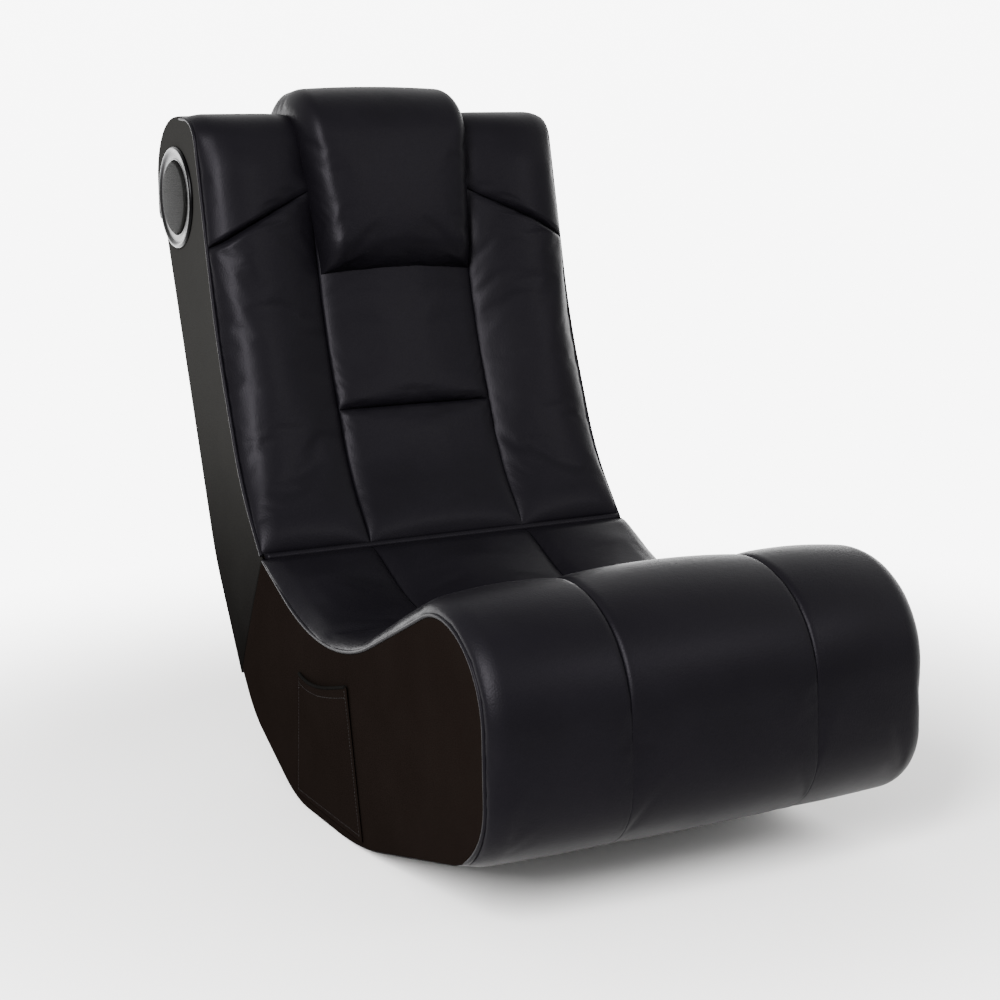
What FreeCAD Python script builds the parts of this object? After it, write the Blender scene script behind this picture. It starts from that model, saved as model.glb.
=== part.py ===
import FreeCAD, Part
import cmath
import math
import os
from types import SimpleNamespace

# A padded floor rocker. The seat block stands on a curved base and the back block folds forward on it.
# X runs across the chair (+X is the sitter's left), the sitter faces -Y, Z is up, the floor is Z = 0.
# Side-view points are complex numbers y + z*1j, and outlines are walked with the outside on the left.

SIZES = [
    ("body_width", 506, "across the two side covers"),
    ("seam_spacing", 214, "between the two long seams, the width of the centre panels"),
    ("crease_y", 141, "crease between seat and back"),
    ("crease_z", 288, "height of the crease"),
    ("rise_angle", 24.8, "slope of the seat up to the crease"),
    ("rise_run", 214.8, "from the crease to the corner of the dip"),
    ("dip_radius", 305, "round of the seat dip"),
    ("roll_angle", 23.7, "slope from the dip up to the front roll"),
    ("front_reach", 614, "from the crease to the front face"),
    ("roll_radius", 105, "round of the front roll"),
    ("toe_radius", 82, "round under the front roll"),
    ("ramp_angle", 14.9, "rise of the base towards the front"),
    ("ramp_start", -138, "where the front ramp leaves the floor line"),
    ("ramp_radius", 480, "round between ramp and flat"),
    ("ramp_tuck", 82, "how far the front pads reach back under the roll"),
    ("tail_start", 59, "where the rear of the base leaves the floor line"),
    ("tail_angle", 27, "first rise of the rear base"),
    ("tail_run", 156, "length of the first rise"),
    ("tail_radius", 165, "round between flat and rear base"),
    ("heel_angle", 52, "second rise of the rear base"),
    ("heel_radius", 145, "round of the rear base"),
    ("split_angle", 60.4, "slope of the parting plane between the blocks"),
    ("lumbar_angle", 51.1, "slope of the back at the crease"),
    ("lumbar_run", 100.3, "length of the lumbar stretch"),
    ("lumbar_radius", 330, "round of the lumbar stretch"),
    ("back_angle", 68.9, "slope of the middle of the back"),
    ("back_run", 188.7, "length of the middle of the back"),
    ("back_radius", 800, "round into the head"),
    ("head_angle", 78, "slope of the head"),
    ("head_run", 285.2, "length of the head"),
    ("head_front_radius", 45, "round at the front of the top"),
    ("top_angle", 3.9, "fall of the top towards the rear"),
    ("head_depth", 163.4, "depth of the head at the top"),
    ("head_rear_radius", 85, "round at the rear of the top"),
    ("lobe_angle", 87.8, "slope of the rear of the head"),
    ("lobe_run", 128, "height of the rear of the head"),
    ("lobe_radius", 15, "round under the head"),
    ("step_angle", 9, "slope of the step under the head"),
    ("step_run", 25.3, "depth of the step under the head"),
    ("step_radius", 8, "round of the step"),
    ("rear_angle", 70.9, "slope of the rear face"),
    ("rear_run", 452, "length of the rear face"),
    ("rear_radius", 300, "round at the foot of the rear face"),
    ("rear_low_angle", 58.3, "slope of the foot of the rear face"),
    ("pad_thickness", 26, "pads below the welt line"),
    ("pad_crown", 9, "swell of a pad above the welt line"),
    ("bolster_fullness", 2, "crown of bolsters and wings, as a multiple of the other pads' crown"),
    ("barrel_crown", 18, "extra swell of the roll at mid width"),
    ("seam_depth", 6, "how far seams are drawn in"),
    ("seam_round", 0.5, "round of a pad at a cross seam, as a share of its thickness"),
    ("shoulder_sink", 2, "lowest shoulder of a pad at the crease, below the welt line"),
    ("shoulder_rise", 6, "highest shoulder of a pad at the crease, above the welt line"),
    ("shoulder_round", 0.7, "round of the shoulder, as a share of what fits"),
    ("pad_gap", 0.6, "between neighbouring pads"),
    ("pad_inset", 4, "pad edge behind the face of the side cover"),
    ("soft_gap", 0.3, "between soft layers and what carries them"),
    ("mid_seam_z", 444, "height of the seam across the back"),
    ("wing_seam_low", 650, "height of the wing seam at the side"),
    ("wing_seam_high", 720, "height of the wing seam at the headrest"),
    ("wing_rear_round", 3, "round at the rear of the wings"),
    ("headrest_low", 612, "height of the foot of the headrest"),
    ("headrest_proud", 36, "headrest in front of the back"),
    ("headrest_rise", 28, "headrest above the top"),
    ("headrest_round", 40, "round of the headrest edges"),
    ("headrest_side", 0.4, "fullness left at the sides of the headrest"),
    ("headrest_low_round", 0.7, "round at the foot of the headrest, as a share of the top one"),
    ("headrest_rear_round", 0.4, "round at the rear of the headrest, as a share of the top one"),
    ("seat_foam_thickness", 55, "foam under the seat pads"),
    ("back_foam_thickness", 22, "foam under the back pads"),
    ("roll_depth", 150, "from the front face to the board behind the roll foam"),
    ("front_board_depth", 150, "height of the board behind the roll foam"),
    ("board_thickness", 15, "plywood sides"),
    ("cover_thickness", 1.5, "upholstery leather"),
    ("base_cover_thickness", 2, "hard wearing base cover"),
    ("base_board_thickness", 8, "bent base board"),
    ("rear_board_thickness", 3, "hardboard behind the back"),
    ("rail_depth", 55, "wide side of a rail"),
    ("rail_thickness", 22, "narrow side of a rail"),
    ("strap_width", 48, "webbing strap"),
    ("strap_thickness", 1.6, "webbing strap"),
    ("strap_tab", 30, "turned down end of a strap"),
    ("back_strap_low", 515, "height of the lowest strap of the back"),
    ("back_strap_pitch", 52, "rise from strap to strap of the back"),
    ("piping_radius", 2.5, "sewn cord along the edges"),
    ("piping_reach", 0.45, "share of the top that the piping runs along"),
    ("welt_drop", 12, "edge of the side covers below the welt line"),
    ("hinge_depth", 8, "fold axis below the surface"),
    ("knuckle_radius", 4.5, "hinge barrel"),
    ("pin_radius", 2.25, "hinge pin"),
    ("pin_clearance", 0.05, "pin in the barrel"),
    ("leaf_thickness", 2, "hinge leaf"),
    ("leaf_reach", 58, "hinge leaf from the axis"),
    ("hinge_width", 90, "length of one hinge"),
    ("hinge_spacing", 300, "between the two hinges"),
    ("knuckle_gap", 0.4, "between hinge barrels"),
    ("split_gap", 0.5, "each block from the parting plane"),
    ("gusset_gap", 0.5, "gusset around the barrel"),
    ("gusset_thickness", 1, "cloth gusset in the crease"),
    ("vee_half_angle", 47, "opening of the pad ends at the crease, each side"),
    ("screw_radius", 2, "wood screw"),
    ("screw_length", 45, "frame screw"),
    ("hinge_screw_length", 18, "hinge screw"),
    ("screw_head_radius", 4, "screw head"),
    ("screw_head_height", 1.6, "screw head"),
    ("pocket_mouth_front_y", -123, "front end of the pocket mouth"),
    ("pocket_mouth_front_z", 186, "front end of the pocket mouth"),
    ("pocket_mouth_rear_y", 28, "rear end of the pocket mouth"),
    ("pocket_mouth_rear_z", 167, "rear end of the pocket mouth"),
    ("pocket_foot_front_y", -150, "front of the pocket foot"),
    ("pocket_foot_rear_y", 50, "rear of the pocket foot"),
    ("pocket_foot_z", 32, "foot of the pocket"),
    ("pocket_depth", 8, "pocket proud of the cover"),
    ("pocket_wall", 1.5, "pocket cloth"),
    ("pocket_hem", 5, "sewn edge of the pocket"),
    ("speaker_y", 411, "centre of the speakers"),
    ("speaker_z", 712, "centre of the speakers"),
    ("bezel_radius", 65.5, "speaker ring outside"),
    ("bezel_gap", 0.6, "speaker ring around the grille"),
    ("bezel_height", 4.5, "speaker ring proud of the cover"),
    ("bezel_lip", 2, "rounded edge and lip of the speaker ring"),
    ("bezel_floor", 1.2, "foot of the dished face of the speaker ring"),
    ("driver_radius", 54, "driver flange"),
    ("driver_bore", 38, "hole for the basket"),
    ("driver_flange", 3, "driver flange thickness"),
    ("driver_depth", 44, "basket behind the flange"),
    ("basket_wall", 1.6, "basket"),
    ("magnet_radius", 29, "driver magnet"),
    ("magnet_depth", 15, "driver magnet"),
    ("cone_depth", 22, "speaker cone"),
    ("cone_wall", 1.2, "speaker cone"),
    ("cap_place", 0.7, "dust cap down the cone, as a share of its depth"),
    ("coil_radius", 12, "voice coil former"),
    ("coil_length", 12, "voice coil former"),
    ("coil_gap", 0.3, "voice coil former around the pole of the magnet"),
    ("cone_clearance", 0.6, "cone from the basket"),
    ("cone_travel", 1.5, "cone each way"),
    ("grille_wall", 1.2, "perforated grille"),
    ("grille_radius", 47, "raised grille disc"),
    ("grille_proud", 6.5, "edge of the grille disc proud of the cover"),
    ("grille_edge", 2, "chamfer around the grille disc"),
    ("grille_dome", 1.5, "dome of the grille disc"),
    ("driver_screws", 4, "screws around a driver"),
    ("driver_screw_circle", 50, "screws from the middle of a driver"),
    ("driver_screw_radius", 1.5, "driver screw"),
    ("driver_screw_length", 12, "driver screw"),
    ("driver_head_radius", 2.5, "driver screw head"),
    ("driver_head_height", 1.2, "driver screw head"),
    ("basket_foot", 20, "rear radius of the basket"),
    ("panel_y", 322, "centre of the control panel"),
    ("panel_z", 402, "centre of the control panel"),
    ("panel_length", 92, "control panel along the back"),
    ("panel_width", 44, "control panel across"),
    ("panel_flange", 5, "rim of the control panel"),
    ("panel_rim", 1.6, "rim thickness"),
    ("panel_recess", 9, "floor of the panel behind the cover"),
    ("panel_wall", 2, "panel moulding"),
    ("amplifier_depth", 30, "amplifier box"),
    ("amplifier_face", 8, "depth of the shaft holes in the amplifier box"),
    ("knob_radius", 11, "volume knob"),
    ("knob_face", 10.1, "volume knob at its face"),
    ("knob_height", 8, "volume knob"),
    ("knob_shaft", 3, "volume knob shaft"),
    ("knob_place", 22, "knob from the middle of the panel"),
    ("button_radius", 6, "power button"),
    ("button_height", 4, "power button above the panel floor"),
    ("button_travel", 1.5, "power button"),
    ("button_place", 20, "button from the middle of the panel"),
    ("shaft_clearance", 0.3, "shafts in the panel floor"),
    ("jack_radius", 4, "input jack"),
    ("jack_bore", 1.8, "input jack"),
    ("jack_proud", 1.5, "input jack above the panel floor"),
    ("lead_radius", 2.5, "speaker lead"),
    ("lead_inset_left", 4.2, "left lead at the amplifier, inside the side board"),
    ("lead_inset_right", 16.2, "right lead at the amplifier, inside the side board"),
    ("lead_lean", 6, "leads towards mid width on their first run"),
    ("lead_rise", 110, "first run of the leads above the amplifier"),
    ("lead_drop_y", 6, "last bend of a lead in front of the magnet's foot"),
    ("lead_drop_z", 55, "last bend of a lead below the magnet"),
    ("lead_cross_inset", 86, "ends of the run across the back, inside the side boards"),
    ("lead_cross_y", 392, "run across the back"),
    ("lead_cross_z", 585, "height of the run across the back"),
    ("lead_sag", 2, "bow of the run across the back"),
    ("lead_bend", 0.45, "bend of a lead, as a share of its shorter run"),
]

doc = FreeCAD.newDocument("FloorRocker")
sheet = doc.addObject("Spreadsheet::Sheet", "Sizes")
for row, (alias, amount, meaning) in enumerate(SIZES, 1):
    sheet.set(f"A{row}", meaning)
    sheet.set(f"B{row}", str(amount))
    sheet.setAlias(f"B{row}", alias)
doc.recompute()
size = SimpleNamespace(**{alias: float(sheet.get(alias)) for alias, amount, meaning in SIZES})
nodes = []


# Side-view geometry

def heading(angle):
    """Unit step in the side view at an angle in degrees from +Y towards +Z."""
    return cmath.rect(1, math.radians(angle))


def crossing(first, first_angle, second, second_angle):
    """Where the line through the first point meets the line through the second one."""
    along = heading(first_angle)
    across = 1j * heading(second_angle)
    gap = second - first
    reach = (gap * across.conjugate()).real / (along * across.conjugate()).real
    return first + reach * along


def walk(start, legs):
    """Corners of an outline: each leg is a run, its direction in degrees and the radius of its end corner."""
    corners = []
    point = start
    for run, angle, radius in legs:
        point = point + run * heading(angle)
        corners.append((point, radius))
    return corners


def moved(corners, offsets):
    """An open outline shifted outwards: each corner by its own offset, with its radius kept concentric."""
    shifted = []
    for place, (point, radius) in enumerate(corners):
        before = corners[max(place - 1, 0)][0]
        after = corners[min(place + 1, len(corners) - 1)][0]
        arriving = point - before if place else after - point
        leaving = after - point if place < len(corners) - 1 else arriving
        arriving /= abs(arriving)
        leaving /= abs(leaving)
        normal = 1j * (arriving + leaving)
        miter = normal / (1 + (arriving * leaving.conjugate()).real)
        turn = (arriving.conjugate() * leaving).imag
        offset = offsets[place]
        round_radius = radius - offset * math.copysign(1, turn) if radius else 0
        shifted.append((point + offset * miter, round_radius))
    return shifted


def curves(corners, place):
    """Lines and tangent arcs of a closed outline; place turns a side-view point into a vector."""
    stops = []
    for index, (point, radius) in enumerate(corners):
        arriving = point - corners[index - 1][0]
        leaving = corners[(index + 1) % len(corners)][0] - point
        arriving /= abs(arriving)
        leaving /= abs(leaving)
        turn = cmath.phase(leaving / arriving)
        reach = radius * math.tan(abs(turn) / 2)
        start = point - reach * arriving
        end = point + reach * leaving
        inward = (leaving - arriving) / abs(leaving - arriving) if radius else 0
        middle = point + inward * radius * (1 / math.cos(turn / 2) - 1)
        stops.append((start, middle, end, radius))
    shapes = []
    for index, (start, middle, end, radius) in enumerate(stops):
        if radius:
            shapes.append(Part.Arc(place(start), place(middle), place(end)))
        following = stops[(index + 1) % len(stops)][0]
        shapes.append(Part.LineSegment(place(end), place(following)))
    return shapes


def in_sketch(point):
    return FreeCAD.Vector(point.real, point.imag, 0)


def at_width(x):
    return lambda point: FreeCAD.Vector(x, point.real, point.imag)


# Document helpers

def keep(piece):
    """Mark a document object as one sub-part, to be written under its label."""
    nodes.append(piece)
    return piece


def origin_plane(body, role):
    return next(plane for plane in body.Origin.OriginFeatures if plane.Role == role)


def add_sketch(body, name, role, geometry):
    sketch = body.newObject("Sketcher::SketchObject", name)
    sketch.AttachmentSupport = [(origin_plane(body, role), "")]
    sketch.MapMode = "FlatFace"
    sketch.addGeometry(geometry, False)
    return sketch


def add_pad(body, name, geometry, length):
    pad = body.newObject("PartDesign::Pad", name)
    pad.Profile = add_sketch(body, name + "_outline", "YZ_Plane", geometry)
    pad.setExpression("Length", length)
    return pad


def flat_body(label, corners, start, length, holes=()):
    """A sheet or slab: a side-view outline, with holes, padded along X from a start."""
    body = doc.addObject("PartDesign::Body", label)
    geometry = curves(corners, in_sketch)
    for hole in holes:
        geometry += hole
    add_pad(body, label + "_slab", geometry, length)
    body.setExpression("Placement.Base.x", start)
    return keep(body)


def round_hole(point, radius):
    return [Part.Circle(in_sketch(point), FreeCAD.Vector(0, 0, 1), radius)]


def turned_body(label, side, profile, point):
    """A round piece about an axis along X: profile points are outward place and radius."""
    body = doc.addObject("PartDesign::Body", label)
    corners = [FreeCAD.Vector(side * out, radius, 0) for out, radius in profile]
    lines = [Part.LineSegment(corners[i - 1], corners[i]) for i in range(len(corners))]
    turned = body.newObject("PartDesign::Revolution", label + "_turned")
    sketch = add_sketch(body, label + "_profile", "XY_Plane", lines)
    turned.Profile = sketch
    turned.ReferenceAxis = (sketch, ["H_Axis"])
    turned.Angle = 360
    body.Placement = FreeCAD.Placement(FreeCAD.Vector(0, point.real, point.imag), FreeCAD.Rotation())
    return body


def slanted_box(label, corner, angle, length, width, height, start):
    """A box across the chair: length along X, width at an angle in the side view, height square to it."""
    box = doc.addObject("Part::Box", label)
    box.setExpression("Length", length)
    box.setExpression("Width", width)
    box.setExpression("Height", height)
    turn = FreeCAD.Rotation(FreeCAD.Vector(1, 0, 0), angle)
    box.Placement = FreeCAD.Placement(FreeCAD.Vector(0, corner.real, corner.imag), turn)
    box.setExpression("Placement.Base.x", start)
    return box


def group(label, kind, members):
    """Several solids in one node, separate or joined."""
    joined = doc.addObject(kind, label)
    if kind == "Part::Compound":
        joined.Links = members
    else:
        joined.Shapes = members
    return joined


def shape_piece(label, shape):
    piece = doc.addObject("Part::Feature", label)
    piece.Shape = shape
    piece.Placement = FreeCAD.Placement()
    return keep(piece)


def pad_piece(label, stations, section):
    """A stuffed pad: a loft across the chair through closed side-view sections."""
    wires = []
    for x, swell in stations:
        edges = [curve.toShape() for curve in curves(section(x, swell), at_width(x))]
        wires.append(Part.Wire(edges))
    loft = Part.makeLoft(wires, True, False)
    if loft.Volume < 0:
        loft.reverse()
    return shape_piece(label, loft)


# Main outline

half_width = size.body_width / 2
board_outside = half_width - size.cover_thickness - size.soft_gap
board_inside = board_outside - size.board_thickness
BOARD_OUTSIDE = "(Sizes.body_width / 2 - Sizes.cover_thickness - Sizes.soft_gap)"
BOARD_INSIDE = f"({BOARD_OUTSIDE} - Sizes.board_thickness)"
BETWEEN_BOARDS = f"(2 * {BOARD_INSIDE})"
SIDES = (("right", -1), ("left", 1))

crease = complex(size.crease_y, size.crease_z)
dip = crease - size.rise_run * heading(size.rise_angle)
front_y = size.crease_y - size.front_reach
roll_top = crossing(dip, 180 - size.roll_angle, complex(front_y, 0), 90)
ramp_foot = complex(size.ramp_start, 0)
toe = crossing(ramp_foot, 180 - size.ramp_angle, complex(front_y, 0), 90)
ramp_end = toe - size.ramp_tuck * heading(180 - size.ramp_angle)
tail_foot = complex(size.tail_start, 0)
heel = tail_foot + size.tail_run * heading(size.tail_angle)

# The fold axis lies at equal depth below the seat and the back, and the parting plane runs down from it.
half_bend = (size.lumbar_angle - size.rise_angle) / 2
bisector = heading(90 + (size.lumbar_angle + size.rise_angle) / 2)
axis = crease - size.hinge_depth / math.cos(math.radians(half_bend)) * bisector
split_heading = -size.split_angle
split_rearward = 1j * heading(split_heading)


def beside_split(distance):
    """A point on the line at a distance behind the parting plane (in front of it if negative)."""
    return axis + distance * split_rearward


heel_end = crossing(heel, size.heel_angle, axis, split_heading)
seat_face = [(ramp_end, 0), (toe, size.toe_radius), (roll_top, size.roll_radius),
             (dip, size.dip_radius), (crease, 0)]
base_line = [(heel_end, 0), (heel, size.heel_radius), (tail_foot, size.tail_radius),
             (ramp_foot, size.ramp_radius), (ramp_end, 0)]
back_face = [(crease, 0)] + walk(crease, [
    (size.lumbar_run, size.lumbar_angle, size.lumbar_radius),
    (size.back_run, size.back_angle, size.back_radius),
    (size.head_run, size.head_angle, size.head_front_radius)])
head_top = back_face[3][0]
top_middle = head_top + size.head_depth / 2 * heading(-size.top_angle)
rear_line = [(top_middle, 0)] + walk(head_top, [
    (size.head_depth, -size.top_angle, size.head_rear_radius),
    (size.lobe_run, -size.lobe_angle, size.lobe_radius),
    (size.step_run, -180 + size.step_angle, size.step_radius),
    (size.rear_run, -180 + size.rear_angle, size.rear_radius)])
rear_low_heading = -180 + size.rear_low_angle
rear_foot = crossing(rear_line[4][0], rear_low_heading, axis, split_heading)
rear_line.append((rear_foot, 0))
speaker = complex(size.speaker_y, size.speaker_z)


def on_back(level):
    """The point of the back's face at a height, and the direction of the face there."""
    stretches = zip(back_face, back_face[1:], (size.lumbar_angle, size.back_angle, size.head_angle))
    start, slope = next((low[0], angle) for low, high, angle in stretches if level <= high[0].imag)
    return crossing(start, slope, complex(0, level), 0), heading(slope)


# Pads

VEE_SEAT = math.degrees(cmath.phase(bisector)) + size.vee_half_angle
VEE_BACK = math.degrees(cmath.phase(bisector)) - size.vee_half_angle
gusset_outside = size.knuckle_radius + size.gusset_gap + size.gusset_thickness
pad_reach = gusset_outside + size.soft_gap
pad_floor = -size.pad_thickness
seam_x = size.seam_spacing / 2
pad_outside = half_width - size.pad_inset
STATION_COUNT = 9


def stations(inner, outer):
    """Places across a pad with the swell there: drawn in by the seam depth at its edges, crowned between."""
    places = []
    for count in range(STATION_COUNT):
        off_centre = math.cos(math.pi * count / (STATION_COUNT - 1))
        swell = math.sqrt(1 - abs(off_centre) ** 3) * (size.pad_crown + size.seam_depth) - size.seam_depth
        places.append(((inner + outer) / 2 - off_centre * (outer - inner) / 2, swell))
    return places


def barrel(x):
    """Extra swell of the roll, greatest at mid width."""
    return size.barrel_crown * (1 - (x / half_width) ** 2)


def crease_end(swell, vee, face_angle):
    """End of a pad at the crease: its tip beside the gusset, and the shoulder above it."""
    opening = math.radians(abs(vee - face_angle))
    lift = min(max(swell, -size.shoulder_sink), size.shoulder_rise)
    reach = (size.hinge_depth + lift) / math.sin(opening)
    shoulder_radius = size.shoulder_round * (reach - pad_reach) / math.tan(opening / 2)
    tip = axis + pad_reach * heading(vee)
    shoulder = axis + reach * heading(vee)
    return tip, (shoulder, min(shoulder_radius, size.pad_thickness))


SEAT_FLOOR = moved(seat_face, [-size.base_cover_thickness - size.base_board_thickness] + [pad_floor] * 4)
BACK_FLOOR = moved(back_face, [pad_floor] * 4)


def seat_section(x, swell):
    """Side view of a seat pad: from under the roll, over it, through the dip to the crease."""
    front = swell + barrel(x)
    shell = moved(seat_face, [-size.base_cover_thickness, front, front, swell, 0])[:4]
    tip, shoulder = crease_end(swell, VEE_SEAT, 180 + size.rise_angle)
    foot = crossing(SEAT_FLOOR[3][0], size.rise_angle, tip, VEE_SEAT + 90)
    return shell + [shoulder, (tip, 0), (foot, 0)] + SEAT_FLOOR[3::-1]


def lower_end(swell):
    """The back pads' end at the crease, in walking order from their foot."""
    tip, shoulder = crease_end(swell, VEE_BACK, size.lumbar_angle)
    foot = crossing(BACK_FLOOR[1][0], size.lumbar_angle, tip, VEE_BACK - 90)
    return [(foot, 0), (tip, 0), shoulder]


def seam_end(level, swell, away):
    """Outer and inner corner of a pad at a seam; away is +1 above the seam and -1 below it."""
    point, along = on_back(level)
    edge = point + away * size.pad_gap / 2 * along
    outward = 1j * along
    top = edge + max(swell, -size.seam_depth) * outward
    round_radius = size.seam_round * (swell + size.pad_thickness)
    return (top, round_radius), (edge + pad_floor * outward, 0)


def wing_seam(x):
    """Height of the slanting seam between bolster and wing."""
    share = (abs(x) - seam_x) / (pad_outside - seam_x)
    return size.wing_seam_high + share * (size.wing_seam_low - size.wing_seam_high)


def full(swell):
    """The fuller swell of bolsters and wings, with the seams left as deep."""
    return max(swell, 0) * size.bolster_fullness + min(swell, 0)


def bolster_section(x, swell):
    """Side view of a bolster: from the crease up to the slanting seam, fuller towards the top."""
    shell = moved(back_face, [0, swell, full(swell), 0])[1:3]
    top, foot = seam_end(wing_seam(x), full(swell), -1)
    return lower_end(swell) + shell + [top, foot] + BACK_FLOOR[2:0:-1]


def lower_centre_section(x, swell):
    shell = moved(back_face, [0, swell, swell, 0])[1:2]
    top, foot = seam_end(size.mid_seam_z, swell, -1)
    return lower_end(swell) + shell + [top, foot] + BACK_FLOOR[1:0:-1]


def upper_centre_section(x, swell):
    shell = moved(back_face, [0, 0, swell, 0])[2:3]
    low_top, low_foot = seam_end(size.mid_seam_z, swell, 1)
    top, foot = seam_end(size.headrest_low, swell, -1)
    return [low_foot, low_top] + shell + [top, foot] + BACK_FLOOR[2:1:-1]


rear_layers = size.cover_thickness + size.rear_board_thickness + 2 * size.soft_gap
top_floor = moved(rear_line[:2], [-rear_layers, -rear_layers])[0][0]


def wing_section(x, swell):
    """Side view of a wing: from the slanting seam up and over the top."""
    shell = moved(back_face + rear_line[:1], [0, 0, 0, full(swell), 0])[3:4]
    low_top, low_foot = seam_end(wing_seam(x), full(swell), 1)
    backward = heading(-size.top_angle)
    rear_top = top_middle - size.pad_gap * backward + max(swell, 0) * 1j * backward
    rear_low = top_floor - size.pad_gap * backward
    inner_top = moved(back_face + rear_line[:1], [0, 0, 0, pad_floor, 0])[3:4]
    return [low_foot, low_top] + shell + [(rear_top, size.wing_rear_round), (rear_low, 0)] + inner_top


def headrest_section(x, swell):
    """Side view of the headrest: a thick pillow over the top, thinner at its sides."""
    share = (swell + size.seam_depth) / (size.pad_crown + size.seam_depth)
    fullness = size.headrest_side + (1 - size.headrest_side) * share
    proud = size.headrest_proud * fullness
    rise = size.headrest_rise * fullness
    round_radius = size.headrest_round * fullness
    low, along = on_back(size.headrest_low)
    low += size.pad_gap / 2 * along
    outward = 1j * along
    upward = 1j * heading(-size.top_angle)
    front_low = low + proud * outward + (1 - share) * size.seam_depth * along
    front_top = crossing(front_low, size.head_angle, head_top + rise * upward, -size.top_angle)
    rear_low = top_floor - size.pad_gap * heading(-size.top_angle)
    rear_top = crossing(rear_low, 90 - size.top_angle, front_top, -size.top_angle)
    inner_top = moved(back_face + rear_line[:1], [0, 0, 0, pad_floor, 0])[3:4]
    return [(low + pad_floor * outward, 0), (low, 0), (front_low, size.headrest_low_round * round_radius),
            (front_top, round_radius), (rear_top, size.headrest_rear_round * round_radius),
            (rear_low, 0)] + inner_top


centre_edge = seam_x - size.pad_gap / 2
side_edge = seam_x + size.pad_gap / 2
CENTRE = stations(-centre_edge, centre_edge)
pad_piece("seat_pad_centre", CENTRE, seat_section)
pad_piece("back_pad_lower", CENTRE, lower_centre_section)
pad_piece("back_pad_upper", CENTRE, upper_centre_section)
pad_piece("headrest", CENTRE, headrest_section)
for side_name, side in SIDES:
    across = stations(side * side_edge, side * pad_outside)
    pad_piece(f"seat_pad_{side_name}", across, seat_section)
    pad_piece(f"back_bolster_{side_name}", across, bolster_section)
    pad_piece(f"back_wing_{side_name}", across, wing_section)

# Boards, foam and covers of the seat block

base_layers = size.base_cover_thickness + size.base_board_thickness + 2 * size.soft_gap
block_face = size.split_gap + size.leaf_thickness


def seat_slab(face_offset, base_offset, split_offset):
    """Side outline of the seat block, set in from the face, the base and the parting plane."""
    face = moved(seat_face, [-base_offset] + [-face_offset] * 4)
    base = moved(base_line, [-base_offset] * 5)
    crest = crossing(face[3][0], size.rise_angle, beside_split(-split_offset), split_heading)
    tail = crossing(base[1][0], size.heel_angle, beside_split(-split_offset), split_heading)
    return face[:4] + [(crest, 0), (tail, 0)] + base[1:4]


def trimmed_base(outer, inner):
    """A layer along the base, ended at the parting plane's cover and at the front pads."""
    outside = moved(base_line, [-outer] * 5)
    inside = moved(base_line, [-inner] * 5)
    ends = []
    for line in (outside, inside):
        tail = crossing(line[1][0], size.heel_angle, beside_split(-block_face), split_heading)
        front = line[4][0] + 2 * size.pad_gap * heading(-size.ramp_angle)
        ends.append([(tail, 0)] + line[1:4] + [(front, 0)])
    return ends[0] + ends[1][::-1]


board_face = size.pad_thickness + size.soft_gap
seat_board = seat_slab(board_face, base_layers, block_face)
seat_cover = seat_slab(size.welt_drop, size.base_cover_thickness + size.soft_gap, size.split_gap)
for side_name, side in SIDES:
    board_start = BOARD_INSIDE if side > 0 else f"-{BOARD_OUTSIDE}"
    cover_start = "Sizes.body_width / 2 - Sizes.cover_thickness" if side > 0 else "-Sizes.body_width / 2"
    flat_body(f"seat_side_board_{side_name}", seat_board, board_start, "Sizes.board_thickness")
    flat_body(f"seat_side_cover_{side_name}", seat_cover, cover_start, "Sizes.cover_thickness")

flat_body("rocker_base_cover", trimmed_base(0, size.base_cover_thickness),
          "-Sizes.body_width / 2", "Sizes.body_width")
flat_body("rocker_base_board",
          trimmed_base(size.base_cover_thickness + size.soft_gap, base_layers - size.soft_gap),
          f"-{BOARD_OUTSIDE}", f"2 * {BOARD_OUTSIDE}")

foam_top = -size.pad_thickness - size.soft_gap
seat_foam_floor = foam_top - size.seat_foam_thickness
FOAM_START = f"-({BOARD_INSIDE} - Sizes.soft_gap)"
FOAM_LENGTH = f"2 * ({BOARD_INSIDE} - Sizes.soft_gap)"
foam_end = block_face + size.rail_thickness + size.soft_gap
roll_back = front_y + size.roll_depth


def seat_foam_line(offset):
    """The seat foam's face at an offset, from behind the roll to the hinge rail."""
    line = moved(seat_face, [offset] * 5)
    end = crossing(line[3][0], size.rise_angle, beside_split(-foam_end), split_heading)
    start = crossing(line[3][0], -size.roll_angle, complex(roll_back + size.soft_gap, 0), 90)
    return [(start, 0), line[3], (end, 0)]


flat_body("seat_foam", seat_foam_line(foam_top) + seat_foam_line(seat_foam_floor)[::-1],
          FOAM_START, FOAM_LENGTH)
base_inner = moved(base_line, [-base_layers] * 5)
roll_shell = moved(seat_face, [-base_layers - size.soft_gap] + [foam_top] * 4)
roll_crest = crossing(roll_shell[3][0], -size.roll_angle, complex(roll_back, 0), 90)
roll_foot = crossing(roll_shell[0][0], -size.ramp_angle, complex(roll_back, 0), 90)
flat_body("roll_foam", roll_shell[:3] + [(roll_crest, 0), (roll_foot, 0)], FOAM_START, FOAM_LENGTH)

# Boards, foam and covers of the back block


def back_slab(face_offset, top_offset, rear_offset, split_offset):
    """Side outline of the back block, set in from the face, the top, the rear and the parting plane."""
    face = moved(back_face + rear_line[:1], [-face_offset] * 3 + [-top_offset] + [-rear_offset])
    rear = moved(rear_line, [-rear_offset] * 6)
    foot = crossing(face[1][0], size.lumbar_angle, beside_split(split_offset), split_heading)
    tail = crossing(rear[4][0], rear_low_heading, beside_split(split_offset), split_heading)
    return [(foot, 0)] + face[1:4] + rear[1:5] + [(tail, 0)]


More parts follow.
